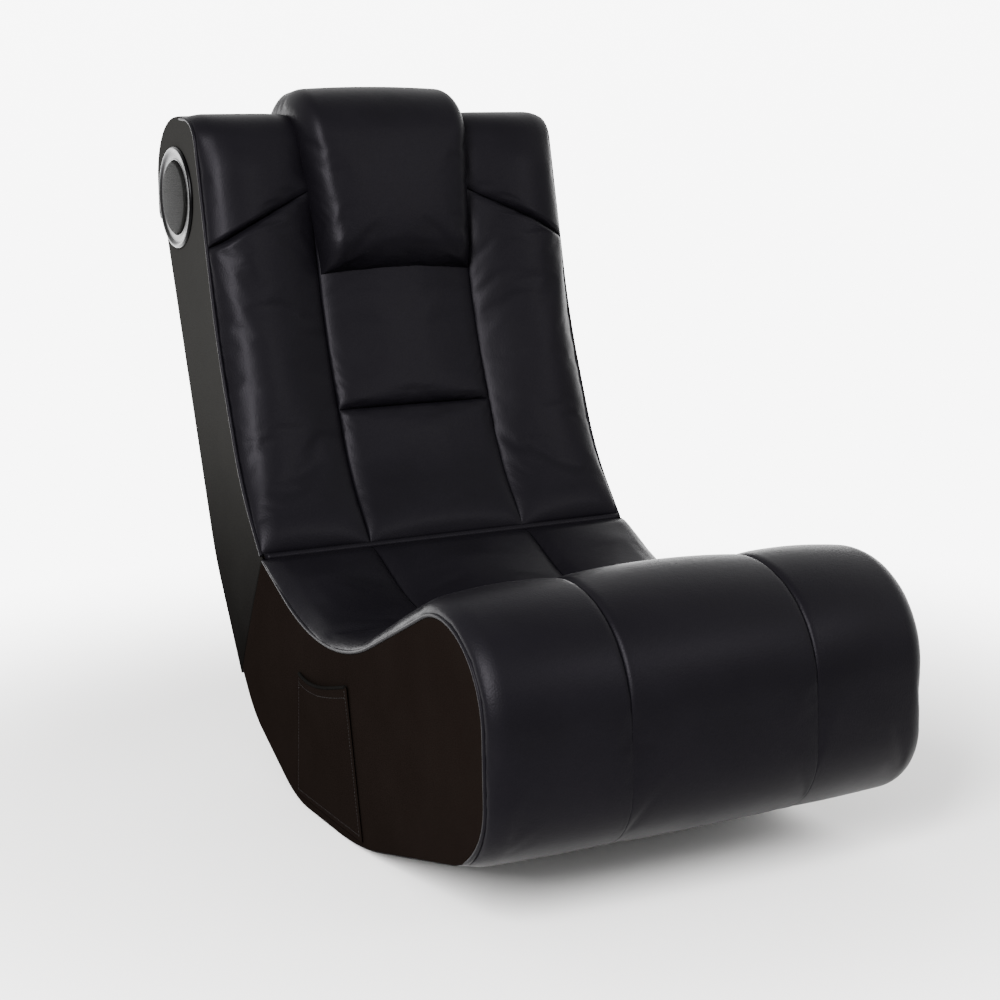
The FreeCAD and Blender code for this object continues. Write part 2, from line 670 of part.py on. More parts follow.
def trimmed_rear(outer, inner):
    """A layer down the rear, from the wings to the parting plane."""
    ends = []
    for offset in (outer, inner):
        line = moved(rear_line, [-offset] * 6)
        tail = crossing(line[4][0], rear_low_heading, beside_split(block_face), split_heading)
        ends.append(line[:5] + [(tail, 0)])
    return ends[0] + ends[1][::-1]


back_board = back_slab(board_face, board_face, rear_layers, block_face)
back_cover = back_slab(size.welt_drop, size.welt_drop, size.cover_thickness + size.soft_gap, size.split_gap)
panel_turn = heading(size.rear_angle)
panel_middle = complex(size.panel_y, size.panel_z)


def panel_outline(grow):
    """The control panel's rectangle, grown on every side."""
    half_length = (size.panel_length / 2 + grow) * panel_turn
    half_breadth = (size.panel_width / 2 + grow) * 1j * panel_turn
    ends = (half_length + half_breadth, half_length - half_breadth,
            -half_length - half_breadth, -half_length + half_breadth)
    return [(panel_middle + end, 0) for end in ends]


flange_hole = size.driver_radius + size.soft_gap
rebates = []
for side_name, side in SIDES:
    board_start = BOARD_INSIDE if side > 0 else f"-{BOARD_OUTSIDE}"
    cover_start = "Sizes.body_width / 2 - Sizes.cover_thickness" if side > 0 else "-Sizes.body_width / 2"
    board_holes = [round_hole(speaker, size.driver_bore)]
    cover_holes = [round_hole(speaker, flange_hole)]
    if side > 0:
        board_holes.append(curves(panel_outline(size.soft_gap), in_sketch))
        cover_holes.append(curves(panel_outline(size.soft_gap), in_sketch))
    board = flat_body(f"back_side_board_{side_name}", back_board, board_start, "Sizes.board_thickness",
                      board_holes)
    rebate = board.newObject("PartDesign::Pocket", f"speaker_rebate_{side_name}")
    ring = round_hole(speaker, flange_hole)
    rebate.Profile = add_sketch(board, f"speaker_rebate_{side_name}_outline", "YZ_Plane", ring)
    rebate.setExpression("Length", "Sizes.driver_flange + Sizes.soft_gap")
    if side > 0:
        rebate.Profile[0].setExpression("AttachmentOffset.Base.z", "Sizes.board_thickness")
    else:
        rebate.Reversed = True
    rebates.append(rebate)
    flat_body(f"back_side_cover_{side_name}", back_cover, cover_start, "Sizes.cover_thickness", cover_holes)

flat_body("back_rear_cover", trimmed_rear(0, size.cover_thickness),
          "-Sizes.body_width / 2", "Sizes.body_width")
flat_body("back_rear_board",
          trimmed_rear(size.cover_thickness + size.soft_gap, rear_layers - size.soft_gap),
          f"-{BOARD_OUTSIDE}", f"2 * {BOARD_OUTSIDE}")


def back_foam_line(offset):
    """The back foam's face at an offset, from the hinge rail up to the round of the head."""
    line = moved(back_face, [offset] * 4)
    start = crossing(line[1][0], size.lumbar_angle, beside_split(foam_end), split_heading)
    end = head_top + (offset * 1j - size.head_front_radius) * heading(size.head_angle)
    return [(start, 0), line[1], line[2], (end, 0)]


back_foam_floor = foam_top - size.back_foam_thickness
flat_body("back_foam", back_foam_line(foam_top) + back_foam_line(back_foam_floor)[::-1],
          FOAM_START, FOAM_LENGTH)

# Rails between the boards

RAIL_SCREW_SHARES = (0.25, 0.75)


def screw(name, head_point, turn, length, radius, head_radius, head_height):
    """A wood screw: its head's face at a point, its shank along the turned Z axis."""
    parts = []
    for part_name, tall, wide in (("head", head_height, head_radius), ("shank", length, radius)):
        cylinder = doc.addObject("Part::Cylinder", f"{name}_{part_name}")
        cylinder.setExpression("Radius", wide)
        cylinder.setExpression("Height", tall)
        cylinder.Placement = FreeCAD.Placement(head_point, turn)
        parts.append(cylinder)
    return group(name, "Part::MultiFuse", parts)


def frame_screw(name, side, point):
    """A screw through a side board into the end of a rail."""
    turn = FreeCAD.Rotation(FreeCAD.Vector(0, 1, 0), -side * 90)
    head_point = FreeCAD.Vector(side * board_outside, point.real, point.imag)
    return screw(name, head_point, turn, "Sizes.screw_length", "Sizes.screw_radius",
                 "Sizes.screw_head_radius", "Sizes.screw_head_height")


def rail(label, corner, angle, depth="rail_depth"):
    """A rail from board to board and the screws at its two ends."""
    keep(slanted_box(label, corner, angle, BETWEEN_BOARDS, f"Sizes.{depth}", "Sizes.rail_thickness",
                     f"-{BOARD_INSIDE}"))
    along = getattr(size, depth) * heading(angle)
    middle = corner + size.rail_thickness / 2 * 1j * heading(angle)
    return [frame_screw(f"{label}_screw_{side_name}_{place}", side, middle + share * along)
            for side_name, side in SIDES for place, share in enumerate(RAIL_SCREW_SHARES)]


leaf_start = size.knuckle_radius + 2 * size.knuckle_gap
rail_drop = size.pad_thickness
rail_top = axis + rail_drop * heading(split_heading)
rear_inner = moved(rear_line, [-rear_layers] * 6)
front_corner = roll_foot + complex(size.soft_gap + size.rail_thickness, 0)
base_corner = complex((size.ramp_start + size.tail_start - size.rail_depth) / 2, base_layers)
top_corner = head_top + complex(2 * size.pad_thickness, -2 * size.pad_thickness)
middle_corner = rear_inner[3][0] + size.rear_run / 2 * heading(-180 + size.rear_angle)
seat_rail_top = rail_top - (block_face + size.rail_thickness) * split_rearward
seat_screws = (rail("seat_hinge_rail", seat_rail_top, split_heading)
               + rail("seat_front_board", front_corner, 90, "front_board_depth")
               + rail("seat_base_rail", base_corner, 0))
back_screws = (rail("back_hinge_rail", rail_top + block_face * split_rearward, split_heading)
               + rail("back_middle_rail", middle_corner, size.rear_angle)
               + rail("back_top_rail", top_corner, -size.top_angle))

# Webbing under the foam: flat straps whose ends turn down on the boards

STRAP = (BETWEEN_BOARDS, "Sizes.strap_width", "Sizes.strap_thickness", f"-{BOARD_INSIDE}")
SEAT_STRAP_SLOPES = (-16, -5, 6, 17)
BACK_STRAPS = 4


def strap(name, middle, slope):
    """One strap across the boards; middle is a point on its upper face."""
    along = heading(slope)
    corner = middle - size.strap_width / 2 * along - size.strap_thickness * 1j * along
    pieces = [slanted_box(f"{name}_band", corner, slope, *STRAP)]
    tab_corner = corner - size.strap_tab * 1j * along
    for side_name, side in SIDES:
        start = f"{BOARD_INSIDE} - Sizes.strap_thickness" if side > 0 else f"-{BOARD_INSIDE}"
        pieces.append(slanted_box(f"{name}_tab_{side_name}", tab_corner, slope, "Sizes.strap_thickness",
                                  "Sizes.strap_width", "Sizes.strap_tab + Sizes.strap_thickness", start))
    return group(name, "Part::MultiFuse", pieces)


dip_turn = (size.rise_angle + size.roll_angle) / 2
dip_up = heading(90 + (size.rise_angle - size.roll_angle) / 2)
dip_centre = dip + size.dip_radius / math.cos(math.radians(dip_turn)) * dip_up
strap_sag = size.strap_width ** 2 / (8 * size.dip_radius)
strap_radius = size.dip_radius - seat_foam_floor + strap_sag + size.soft_gap
seat_straps = [strap(f"seat_strap_{count}", dip_centre + strap_radius * heading(slope - 90), slope)
               for count, slope in enumerate(SEAT_STRAP_SLOPES, 1)]
back_straps = []
for count in range(BACK_STRAPS):
    face_point, along = on_back(size.back_strap_low + count * size.back_strap_pitch)
    slope = math.degrees(cmath.phase(along))
    strap_point = face_point + (back_foam_floor - size.soft_gap) * 1j * along
    back_straps.append(strap(f"back_strap_{count + 1}", strap_point, slope))
keep(group("seat_webbing", "Part::Compound", seat_straps))
keep(group("back_webbing", "Part::Compound", back_straps))

# Fold hinges

KNUCKLES = 5
KNUCKLE_WIDTH = f"((Sizes.hinge_width - {KNUCKLES - 1} * Sizes.knuckle_gap) / {KNUCKLES})"
BLOCKS = (("seat", -1), ("back", 1))
X_TURN = FreeCAD.Rotation(FreeCAD.Vector(0, 1, 0), 90)


def hinge_start(side):
    return f"({side} * Sizes.hinge_spacing / 2 - Sizes.hinge_width / 2)"


def cross_cylinder(name, radius, height, start):
    """A cylinder along X on the fold axis."""
    cylinder = doc.addObject("Part::Cylinder", name)
    cylinder.setExpression("Radius", radius)
    cylinder.setExpression("Height", height)
    cylinder.Placement = FreeCAD.Placement(FreeCAD.Vector(0, axis.real, axis.imag), X_TURN)
    cylinder.setExpression("Placement.Base.x", start)
    return cylinder


def hinge_leaf(block, behind, side_name, side):
    """One leaf: a plate beside the parting plane with every other barrel of the hinge."""
    name = f"{block}_leaf_{side_name}"
    lift = size.split_gap if behind > 0 else -block_face
    corner = axis + lift * split_rearward
    start = hinge_start(side)
    plate_width = "Sizes.leaf_reach - Sizes.knuckle_radius - 2 * Sizes.knuckle_gap"
    web_width = "Sizes.knuckle_radius + 3 * Sizes.knuckle_gap"
    solids = [slanted_box(f"{name}_plate", corner + leaf_start * heading(split_heading), split_heading,
                          "Sizes.hinge_width", plate_width, "Sizes.leaf_thickness", start)]
    for count in range(0 if behind < 0 else 1, KNUCKLES, 2):
        barrel_start = f"{start} + {count} * ({KNUCKLE_WIDTH} + Sizes.knuckle_gap)"
        solids.append(slanted_box(f"{name}_web_{count}", corner, split_heading, KNUCKLE_WIDTH,
                                  web_width, "Sizes.leaf_thickness", barrel_start))
        solids.append(cross_cylinder(f"{name}_barrel_{count}", "Sizes.knuckle_radius",
                                     KNUCKLE_WIDTH, barrel_start))
    leaf = doc.addObject("Part::Cut", name)
    leaf.Base = group(f"{name}_blank", "Part::MultiFuse", solids)
    leaf.Tool = cross_cylinder(f"{name}_bore", "Sizes.pin_radius + Sizes.pin_clearance",
                               "Sizes.hinge_width", start)
    return leaf


def hinge_screws(block, behind, side_name, side):
    """Screws through a leaf into its rail, on both halves of the leaf."""
    screws = []
    turn_angle = split_heading if behind > 0 else split_heading + 180
    turn = FreeCAD.Rotation(FreeCAD.Vector(1, 0, 0), turn_angle)
    down = (rail_drop + size.leaf_reach) / 2
    for half in (-1, 1):
        point = axis + down * heading(split_heading) + behind * size.split_gap * split_rearward
        x = side * size.hinge_spacing / 2 + half * size.hinge_width / 3
        head_point = FreeCAD.Vector(x, point.real, point.imag)
        screws.append(screw(f"{block}_hinge_screw_{side_name}_{half + 1}", head_point, turn,
                            "Sizes.hinge_screw_length", "Sizes.screw_radius",
                            "Sizes.screw_head_radius", "Sizes.screw_head_height"))
    return screws


for (block, behind), screws in zip(BLOCKS, (seat_screws, back_screws)):
    leaves = [hinge_leaf(block, behind, side_name, side) for side_name, side in SIDES]
    for side_name, side in SIDES:
        screws += hinge_screws(block, behind, side_name, side)
    keep(group(f"{block}_hinge_leaves", "Part::Compound", leaves))
    keep(group(f"{block}_frame_screws", "Part::Compound", screws))
pins = [cross_cylinder(f"hinge_pin_{side_name}", "Sizes.pin_radius", "Sizes.hinge_width", hinge_start(side))
        for side_name, side in SIDES]
keep(group("hinge_pins", "Part::Compound", pins))

# The gusset bridges the crease over the hinge barrels
gusset_inside = size.knuckle_radius + size.gusset_gap
arc_angles = (VEE_BACK, (VEE_BACK + VEE_SEAT) / 2, VEE_SEAT)
outer_arc = [in_sketch(axis + gusset_outside * heading(angle)) for angle in arc_angles]
inner_arc = [in_sketch(axis + gusset_inside * heading(angle)) for angle in arc_angles]
gusset = doc.addObject("PartDesign::Body", "crease_gusset")
add_pad(gusset, "crease_gusset_cloth",
        [Part.Arc(*outer_arc), Part.LineSegment(outer_arc[2], inner_arc[2]),
         Part.Arc(*inner_arc), Part.LineSegment(inner_arc[0], outer_arc[0])],
        "2 * (Sizes.body_width / 2 - Sizes.pad_inset)")
gusset.setExpression("Placement.Base.x", "-(Sizes.body_width / 2 - Sizes.pad_inset)")
keep(gusset)


def closing_cover(label, behind, end):
    """A cloth panel over the open end of a block, below the hinge leaves."""
    near = behind * size.split_gap * split_rearward
    far = behind * (size.split_gap + size.cover_thickness) * split_rearward
    top = axis + (size.leaf_reach + size.soft_gap) * heading(split_heading)
    return flat_body(label, [(top + near, 0), (top + far, 0), (end + far, 0), (end + near, 0)],
                     f"-{BOARD_OUTSIDE}", f"2 * {BOARD_OUTSIDE}")


seat_end = crossing(base_inner[1][0], size.heel_angle, axis, split_heading)
back_end = crossing(rear_inner[4][0], rear_low_heading, axis, split_heading)
closing_cover("seat_closing_cover", -1, seat_end - 2 * size.cover_thickness * heading(split_heading))
closing_cover("back_closing_cover", 1, back_end - 2 * size.cover_thickness * heading(split_heading))

# Piping along the edges of the side covers


def piping(line, x):
    """A round cord carried along an open outline."""
    place = at_width(x)
    outline = curves(line, place)
    path = Part.Wire([curve.toShape() for curve in outline[:-1]])
    start = place(line[0][0])
    forward = place(line[1][0]) - start
    ring = Part.Wire([Part.Circle(start, forward, size.piping_radius).toShape()])
    return path.makePipeShell([ring], True, True)


piping_lift = size.piping_radius + size.soft_gap
piping_x = pad_outside + size.piping_radius + size.soft_gap
seat_welt = moved(seat_cover[:5], [piping_lift] * 5)
back_welt = moved(back_cover[:5], [piping_lift] * 5)
crease_clear = 2 * size.hinge_depth
seat_welt[4] = (crossing(seat_welt[3][0], size.rise_angle, beside_split(-crease_clear), split_heading), 0)
back_welt[0] = (crossing(back_welt[1][0], size.lumbar_angle, beside_split(crease_clear), split_heading), 0)
back_welt[4] = (back_welt[3][0] + size.piping_reach * (back_welt[4][0] - back_welt[3][0]), 0)
for block, welt in (("seat", seat_welt), ("back", back_welt)):
    cords = [piping(welt, side * piping_x) for side_name, side in SIDES]
    shape_piece(f"{block}_piping", Part.makeCompound(cords))

# Side pocket: an outer wall and a sewn hem on three sides, open at the mouth

mouth_front = complex(size.pocket_mouth_front_y, size.pocket_mouth_front_z)
mouth_rear = complex(size.pocket_mouth_rear_y, size.pocket_mouth_rear_z)
foot_front = complex(size.pocket_foot_front_y, size.pocket_foot_z)
foot_rear = complex(size.pocket_foot_rear_y, size.pocket_foot_z)
hem_front = foot_front + size.pocket_hem * (1 + 1j)
hem_rear = foot_rear + size.pocket_hem * (-1 + 1j)
mouth_inner_front = mouth_front + size.pocket_hem
mouth_inner_rear = mouth_rear - size.pocket_hem
pocket = doc.addObject("PartDesign::Body", "side_pocket")
wall_outline = [(mouth_front, 0), (mouth_rear, 0), (foot_rear, 0), (foot_front, 0)]
hem_outline = [(mouth_front, 0), (mouth_inner_front, 0), (hem_front, 0), (hem_rear, 0), (mouth_inner_rear, 0),
               (mouth_rear, 0), (foot_rear, 0), (foot_front, 0)]
add_pad(pocket, "side_pocket_wall", curves(wall_outline, in_sketch), "Sizes.pocket_wall")
add_pad(pocket, "side_pocket_hem", curves(hem_outline, in_sketch), "Sizes.pocket_depth")
pocket.setExpression("Placement.Base.x", "-Sizes.body_width / 2 - Sizes.pocket_depth")
keep(pocket)

# Speakers in the sides of the head

basket_front = size.driver_bore - size.soft_gap
basket_inner_front = basket_front - size.basket_wall
basket_inner_foot = size.basket_foot - size.basket_wall


def basket_radius(depth):
    """Inside radius of the basket at a depth behind its front."""
    share = depth / (size.driver_depth - size.basket_wall)
    return basket_inner_front + share * (basket_inner_foot - basket_inner_front)


front = board_outside
basket_back = front - size.driver_depth
pole_radius = size.coil_radius - size.cone_wall - size.coil_gap
DRIVER = [(front, size.driver_radius), (front, basket_inner_front),
          (basket_back + size.basket_wall, basket_inner_foot),
          (basket_back + size.basket_wall, pole_radius + size.soft_gap),
          (basket_back, pole_radius + size.soft_gap), (basket_back, size.basket_foot),
          (front - size.driver_flange, basket_front), (front - size.driver_flange, size.driver_radius)]
cone_front = size.cone_travel + size.cone_clearance
cone_rim = basket_radius(cone_front + size.cone_travel) - size.cone_clearance
cone_foot = front - cone_front - size.cone_depth
coil_foot = cone_foot - size.coil_length
pole_top = coil_foot + size.coil_length / 2
magnet_back = basket_back - size.magnet_depth
MAGNET = [(pole_top, 0), (pole_top, pole_radius), (basket_back, pole_radius),
          (basket_back, size.magnet_radius), (magnet_back, size.magnet_radius), (magnet_back, 0)]
cap_depth = size.cap_place * size.cone_depth
cap_radius = cone_rim - size.cone_wall - size.cap_place * (cone_rim - size.coil_radius)
CONE = [(front - cone_front, cone_rim), (front - cone_front, cone_rim - size.cone_wall),
        (front - cone_front - cap_depth, cap_radius), (front - cone_front - cap_depth, 0),
        (front - cone_front - cap_depth - size.cone_wall, 0),
        (cone_foot, size.coil_radius - size.cone_wall), (coil_foot, size.coil_radius - size.cone_wall),
        (coil_foot, size.coil_radius), (cone_foot, size.coil_radius)]
bezel_bore = size.grille_radius + size.bezel_gap
bezel_out = half_width + size.bezel_height
bezel_dish = half_width + size.bezel_floor
BEZEL = [(half_width, size.bezel_radius), (bezel_out - size.bezel_lip, size.bezel_radius),
         (bezel_out, size.bezel_radius - size.bezel_lip), (bezel_out, size.bezel_radius - 2 * size.bezel_lip),
         (bezel_dish, bezel_bore), (half_width, bezel_bore)]
grille_back = front + size.soft_gap
grille_face = half_width + size.grille_proud
grille_inside = size.grille_radius - size.grille_wall
GRILLE = [(grille_back, size.grille_radius), (grille_face - size.grille_edge, size.grille_radius),
          (grille_face, size.grille_radius - size.grille_edge), (grille_face + size.grille_dome, 0),
          (grille_face + size.grille_dome - size.grille_wall, 0),
          (grille_face - size.grille_wall, grille_inside - size.grille_edge),
          (grille_face - size.grille_edge - size.grille_wall, grille_inside), (grille_back, grille_inside)]
driver_screws = []
baskets = []
magnets = []
for side_name, side in SIDES:
    for piece_name, profile in (("bezel", BEZEL), ("grille", GRILLE), ("cone", CONE)):
        keep(turned_body(f"speaker_{piece_name}_{side_name}", side, profile, speaker))
    baskets.append(turned_body(f"basket_{side_name}", side, DRIVER, speaker))
    magnets.append(turned_body(f"magnet_{side_name}", side, MAGNET, speaker))
    turn = FreeCAD.Rotation(FreeCAD.Vector(0, 1, 0), -side * 90)
    for count in range(int(size.driver_screws)):
        point = speaker + size.driver_screw_circle * heading(360 * (count + 0.5) / size.driver_screws)
        head_point = FreeCAD.Vector(side * (front + size.driver_head_height), point.real, point.imag)
        driver_screws.append(screw(f"driver_screw_{side_name}_{count + 1}", head_point, turn,
                                   "Sizes.driver_screw_length", "Sizes.driver_screw_radius",
                                   "Sizes.driver_head_radius", "Sizes.driver_head_height"))
keep(group("speaker_baskets", "Part::Compound", baskets))
keep(group("speaker_magnets", "Part::Compound", magnets))
keep(group("speaker_screws", "Part::Compound", driver_screws))

# Control panel in the left side of the back, with the amplifier behind it

panel_floor = half_width - size.panel_recess
knob_point = panel_middle + size.knob_place * panel_turn
button_point = panel_middle - size.button_place * panel_turn
stem_radius = size.knob_shaft + size.shaft_clearance
jack_hole = size.jack_radius + size.shaft_clearance
floor_holes = round_hole(knob_point, stem_radius) + round_hole(button_point, stem_radius)
jack_holes = round_hole(panel_middle, jack_hole)
inner_edge = curves(panel_outline(-size.panel_wall), in_sketch)
panel = doc.addObject("PartDesign::Body", "control_panel")
add_pad(panel, "control_panel_floor", curves(panel_outline(0), in_sketch) + floor_holes + jack_holes,
        "Sizes.panel_wall")
add_pad(panel, "control_panel_walls", curves(panel_outline(0), in_sketch) + inner_edge,
        "Sizes.panel_recess + Sizes.panel_wall")
rim = add_pad(panel, "control_panel_rim", curves(panel_outline(size.panel_flange), in_sketch) + inner_edge,
              "Sizes.panel_rim")
rim.Profile[0].setExpression("AttachmentOffset.Base.z", "Sizes.panel_recess + Sizes.panel_wall")
PANEL_BACK = "Sizes.body_width / 2 - Sizes.panel_recess - Sizes.panel_wall"
panel.setExpression("Placement.Base.x", PANEL_BACK)
keep(panel)

amplifier = doc.addObject("PartDesign::Body", "amplifier_box")
add_pad(amplifier, "amplifier_box_case", inner_edge, "Sizes.amplifier_depth - Sizes.amplifier_face")
amplifier_face = add_pad(amplifier, "amplifier_box_face", inner_edge + floor_holes + jack_holes,
                         "Sizes.amplifier_face")
amplifier_face.Profile[0].setExpression("AttachmentOffset.Base.z",
                                        "Sizes.amplifier_depth - Sizes.amplifier_face")
amplifier.setExpression("Placement.Base.x", f"{PANEL_BACK} - Sizes.amplifier_depth")
keep(amplifier)

knob_foot = panel_floor + size.shaft_clearance
KNOB = [(panel_floor - size.panel_wall, 0), (panel_floor - size.panel_wall, size.knob_shaft),
        (knob_foot, size.knob_shaft), (knob_foot, size.knob_radius),
        (knob_foot + size.knob_height, size.knob_face), (knob_foot + size.knob_height, 0)]
keep(turned_body("volume_knob", 1, KNOB, knob_point))
button_foot = panel_floor + size.button_travel + size.shaft_clearance
BUTTON = [(panel_floor - size.panel_wall, 0), (panel_floor - size.panel_wall, size.knob_shaft),
          (button_foot, size.knob_shaft), (button_foot, size.button_radius),
          (button_foot + size.button_height, size.button_radius), (button_foot + size.button_height, 0)]
keep(turned_body("power_button", 1, BUTTON, button_point))
jack_face = panel_floor + size.jack_proud
JACK = [(panel_floor - size.panel_wall, size.jack_radius), (jack_face, size.jack_radius),
        (jack_face, size.jack_bore), (panel_floor - size.panel_wall, size.jack_bore)]
keep(turned_body("input_jack", 1, JACK, panel_middle))


# Speaker leads, clipped inside the back from the amplifier to each magnet

def lead(points):
    """A round lead along straight runs joined by tangent arcs."""
    edges = []
    start = points[0]
    for before, corner, after in zip(points, points[1:], points[2:]):
        arriving = (corner - before).normalize()
        leaving = (after - corner).normalize()
        reach = size.lead_bend * min(corner.distanceToPoint(before), corner.distanceToPoint(after))
        turn = arriving.getAngle(leaving)
        radius = reach / math.tan(turn / 2)
        inward = (leaving - arriving).normalize()
        arc_start = corner - arriving * reach
        arc_end = corner + leaving * reach
        middle = corner + inward * (radius / math.cos(turn / 2) - radius)
        edges.append(Part.LineSegment(start, arc_start).toShape())
        edges.append(Part.Arc(arc_start, middle, arc_end).toShape())
        start = arc_end
    edges.append(Part.LineSegment(start, points[-1]).toShape())
    path = Part.Wire(edges)
    ring = Part.Wire([Part.Circle(points[0], points[1] - points[0], size.lead_radius).toShape()])
    tube = path.makePipeShell([ring], True, False)
    expected = math.pi * size.lead_radius ** 2 * path.Length
    share = tube.Volume / expected
    print(f"lead of {path.Length:.0f} mm, volume {share:.3f} of its section times its length")
    return tube


lead_root = panel_middle + (size.panel_length / 2 - size.panel_wall + size.soft_gap) * panel_turn
magnet_x = basket_back - size.magnet_depth / 2
magnet_low = speaker - (size.magnet_radius + 2 * size.soft_gap) * 1j
lead_rise = lead_root + size.lead_rise * panel_turn
lead_bend = magnet_low - complex(size.lead_drop_y, size.lead_drop_z)
lead_cross = complex(size.lead_cross_y, size.lead_cross_z)
left_start = board_inside - size.lead_inset_left
right_start = board_inside - size.lead_inset_right
cross_end = board_inside - size.lead_cross_inset
left_lead = [at_width(left_start)(lead_root), at_width(left_start - size.lead_lean)(lead_rise),
             at_width(magnet_x)(lead_bend), at_width(magnet_x)(magnet_low)]
right_lead = [at_width(right_start)(lead_root), at_width(right_start - size.lead_lean)(lead_rise),
              at_width(cross_end)(lead_cross), at_width(0)(lead_cross + size.lead_sag),
              at_width(-cross_end)(lead_cross),
              at_width(-magnet_x)(lead_bend), at_width(-magnet_x)(magnet_low)]
shape_piece("speaker_leads", Part.makeCompound([lead(left_lead), lead(right_lead)]))


# Check and write

def check_and_write():
    """Stop at any failed object or bad shape, then write one file for each sub-part."""
    doc.recompute()
    failed = [item.Label for item in doc.Objects if "Invalid" in item.State or "Error" in item.State]
    if failed:
        raise RuntimeError(f"failed objects: {failed}")
    for rebate in rebates:
        if rebate.Shape.Volume >= rebate.BaseFeature.Shape.Volume:
            raise RuntimeError(f"nothing cut by {rebate.Label}")
    for piece in nodes:
        if piece.Shape.isNull() or not piece.Shape.isValid():
            raise RuntimeError(f"bad shape: {piece.Label}")
    os.makedirs("parts", exist_ok=True)
    for piece in nodes:
        piece.Shape.exportStep(f"parts/{piece.Label}.step")
        print(f"{piece.Label}: {len(piece.Shape.Solids)} solids, {piece.Shape.Volume / 1000:.1f} cm3")


check_and_write()
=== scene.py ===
# %% [markdown]
# # A padded floor rocker
# A legless chair that rests on a curved base: a seat block with a front roll, a back that folds forward on
# a hinge line at the crease, and a speaker in each side of the head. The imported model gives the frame, the
# bodies and their joints. This lesson dresses it: sewn pads, side covers, piping, a pocket and speakers.

import bmesh
import bpy
import numpy as np
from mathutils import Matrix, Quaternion, Vector


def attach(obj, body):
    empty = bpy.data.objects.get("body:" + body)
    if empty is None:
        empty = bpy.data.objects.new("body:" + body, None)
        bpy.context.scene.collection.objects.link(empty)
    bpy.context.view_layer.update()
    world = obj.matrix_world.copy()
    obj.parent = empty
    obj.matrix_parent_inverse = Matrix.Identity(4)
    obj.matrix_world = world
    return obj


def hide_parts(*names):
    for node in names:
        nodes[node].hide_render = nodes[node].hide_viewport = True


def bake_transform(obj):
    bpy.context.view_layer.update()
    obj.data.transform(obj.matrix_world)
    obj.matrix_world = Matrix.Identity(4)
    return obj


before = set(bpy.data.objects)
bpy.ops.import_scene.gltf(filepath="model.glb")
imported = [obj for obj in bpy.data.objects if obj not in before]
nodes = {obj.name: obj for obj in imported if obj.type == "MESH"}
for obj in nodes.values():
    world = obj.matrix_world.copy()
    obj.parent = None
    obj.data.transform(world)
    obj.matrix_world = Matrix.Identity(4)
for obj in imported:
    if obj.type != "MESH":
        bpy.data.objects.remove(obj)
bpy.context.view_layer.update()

# %% [markdown]
# ## The side view
# Every panel of the chair follows its side view, so that is drawn first. A corner is a place in the side
# view, y + z i in millimetres, with a rounding radius, and an outline is a walk past the corners with the
# outside of the chair on its left. An outline could be a curve object, but as arrays of points and normals
# by length it can carry a height above the sewing line, and a pad is then a height over length and width.

# %% Outlines with rounded corners
MM = 0.001


class Outline:
    """Straight runs joined by tangent arcs, kept as points and outward normals at 1 mm steps of length."""

    def __init__(self, *corners):
        places = [place for place, radius in corners]
        walk = [np.array(places[:1])]
        for before, (corner, radius), after in zip(places, corners[1:], places[2:]):
            arriving = (corner - before) / abs(corner - before)
            turn = np.angle((after - corner) / arriving)
            start = corner - radius * np.tan(abs(turn) / 2) * arriving
            centre = start + 1j * np.sign(turn) * radius * arriving
            walk.append(centre + (start - centre) * np.exp(1j * np.linspace(0, turn, 60)))
        walk = np.concatenate(walk + [np.array(places[-1:])])
        length = np.concatenate([[0], np.cumsum(abs(np.diff(walk)))])
        self.length = length[-1]
        self.run = np.linspace(0, self.length, int(self.length) + 1)
        self.place = np.interp(self.run, length, walk)
        tangent = np.gradient(self.place)
        self.normal = 1j * tangent / abs(tangent)

    def at(self, run, height=0.0):
        """Place at a length along the outline, height outside it: p(run) + height n(run)."""
        return np.interp(run, self.run, self.place) + height * np.interp(run, self.run, self.normal)

    def level(self, z):
        """Length along a climbing outline where it reaches height z."""
        top = np.argmax(self.place.imag)
        return np.interp(z, self.place.imag[:top], self.run[:top])


corner_test = Outline((0j, 0), (100 + 0j, 10), (100 + 100j, 0))
print("two runs of 100 mm with a corner of 10 mm:", round(corner_test.length, 1), "mm")

# %% Outlines of the chair


def crossing(first, first_angle, second, second_angle):
    """Where two lines meet, each given by a place and a heading in degrees."""
    heading = np.exp(1j * np.radians(first_angle))
    across = 1j * np.exp(1j * np.radians(second_angle))
    return first + heading * ((second - first) / across).real / (heading / across).real


CREASE = 141 + 288j          # where the pads of seat and back meet
AXIS = 146.05 + 281.52j      # the pins of the hinge
SPLIT_ANGLE = -60.4          # heading of the parting, down from the axis
SPLIT = np.exp(1j * np.radians(SPLIT_ANGLE))
RAMP_END = -393.8 + 68.0j    # foot of the roll
HEEL = 198 + 70.8j           # rear bend of the base
HEEL_END = crossing(HEEL, 52, AXIS, SPLIT_ANGLE)
REAR_LOW = 326.2 + 251j      # bend low on the rear of the back
REAR_FOOT = crossing(REAR_LOW, 58.3, AXIS, SPLIT_ANGLE)
TOP_MIDDLE = 412.7 + 815.5j  # where the pads lap over the rear cover
TOP_LAP = 12 * np.exp(-1j * np.radians(3.9))
seat_face = Outline((RAMP_END, 0), (-473 + 89.1j, 82), (-473 + 381.8j, 105), (-54 + 197.9j, 305),
                    (CREASE, 0))
base_line = Outline((HEEL_END, 0), (HEEL, 145), (59 + 0j, 165), (-138 + 0j, 480), (RAMP_END, 0))
back_face = Outline((CREASE, 0), (204 + 366.1j, 330), (271.9 + 542.1j, 800), (331.2 + 821.1j, 45),
                    (TOP_MIDDLE + TOP_LAP, 0))
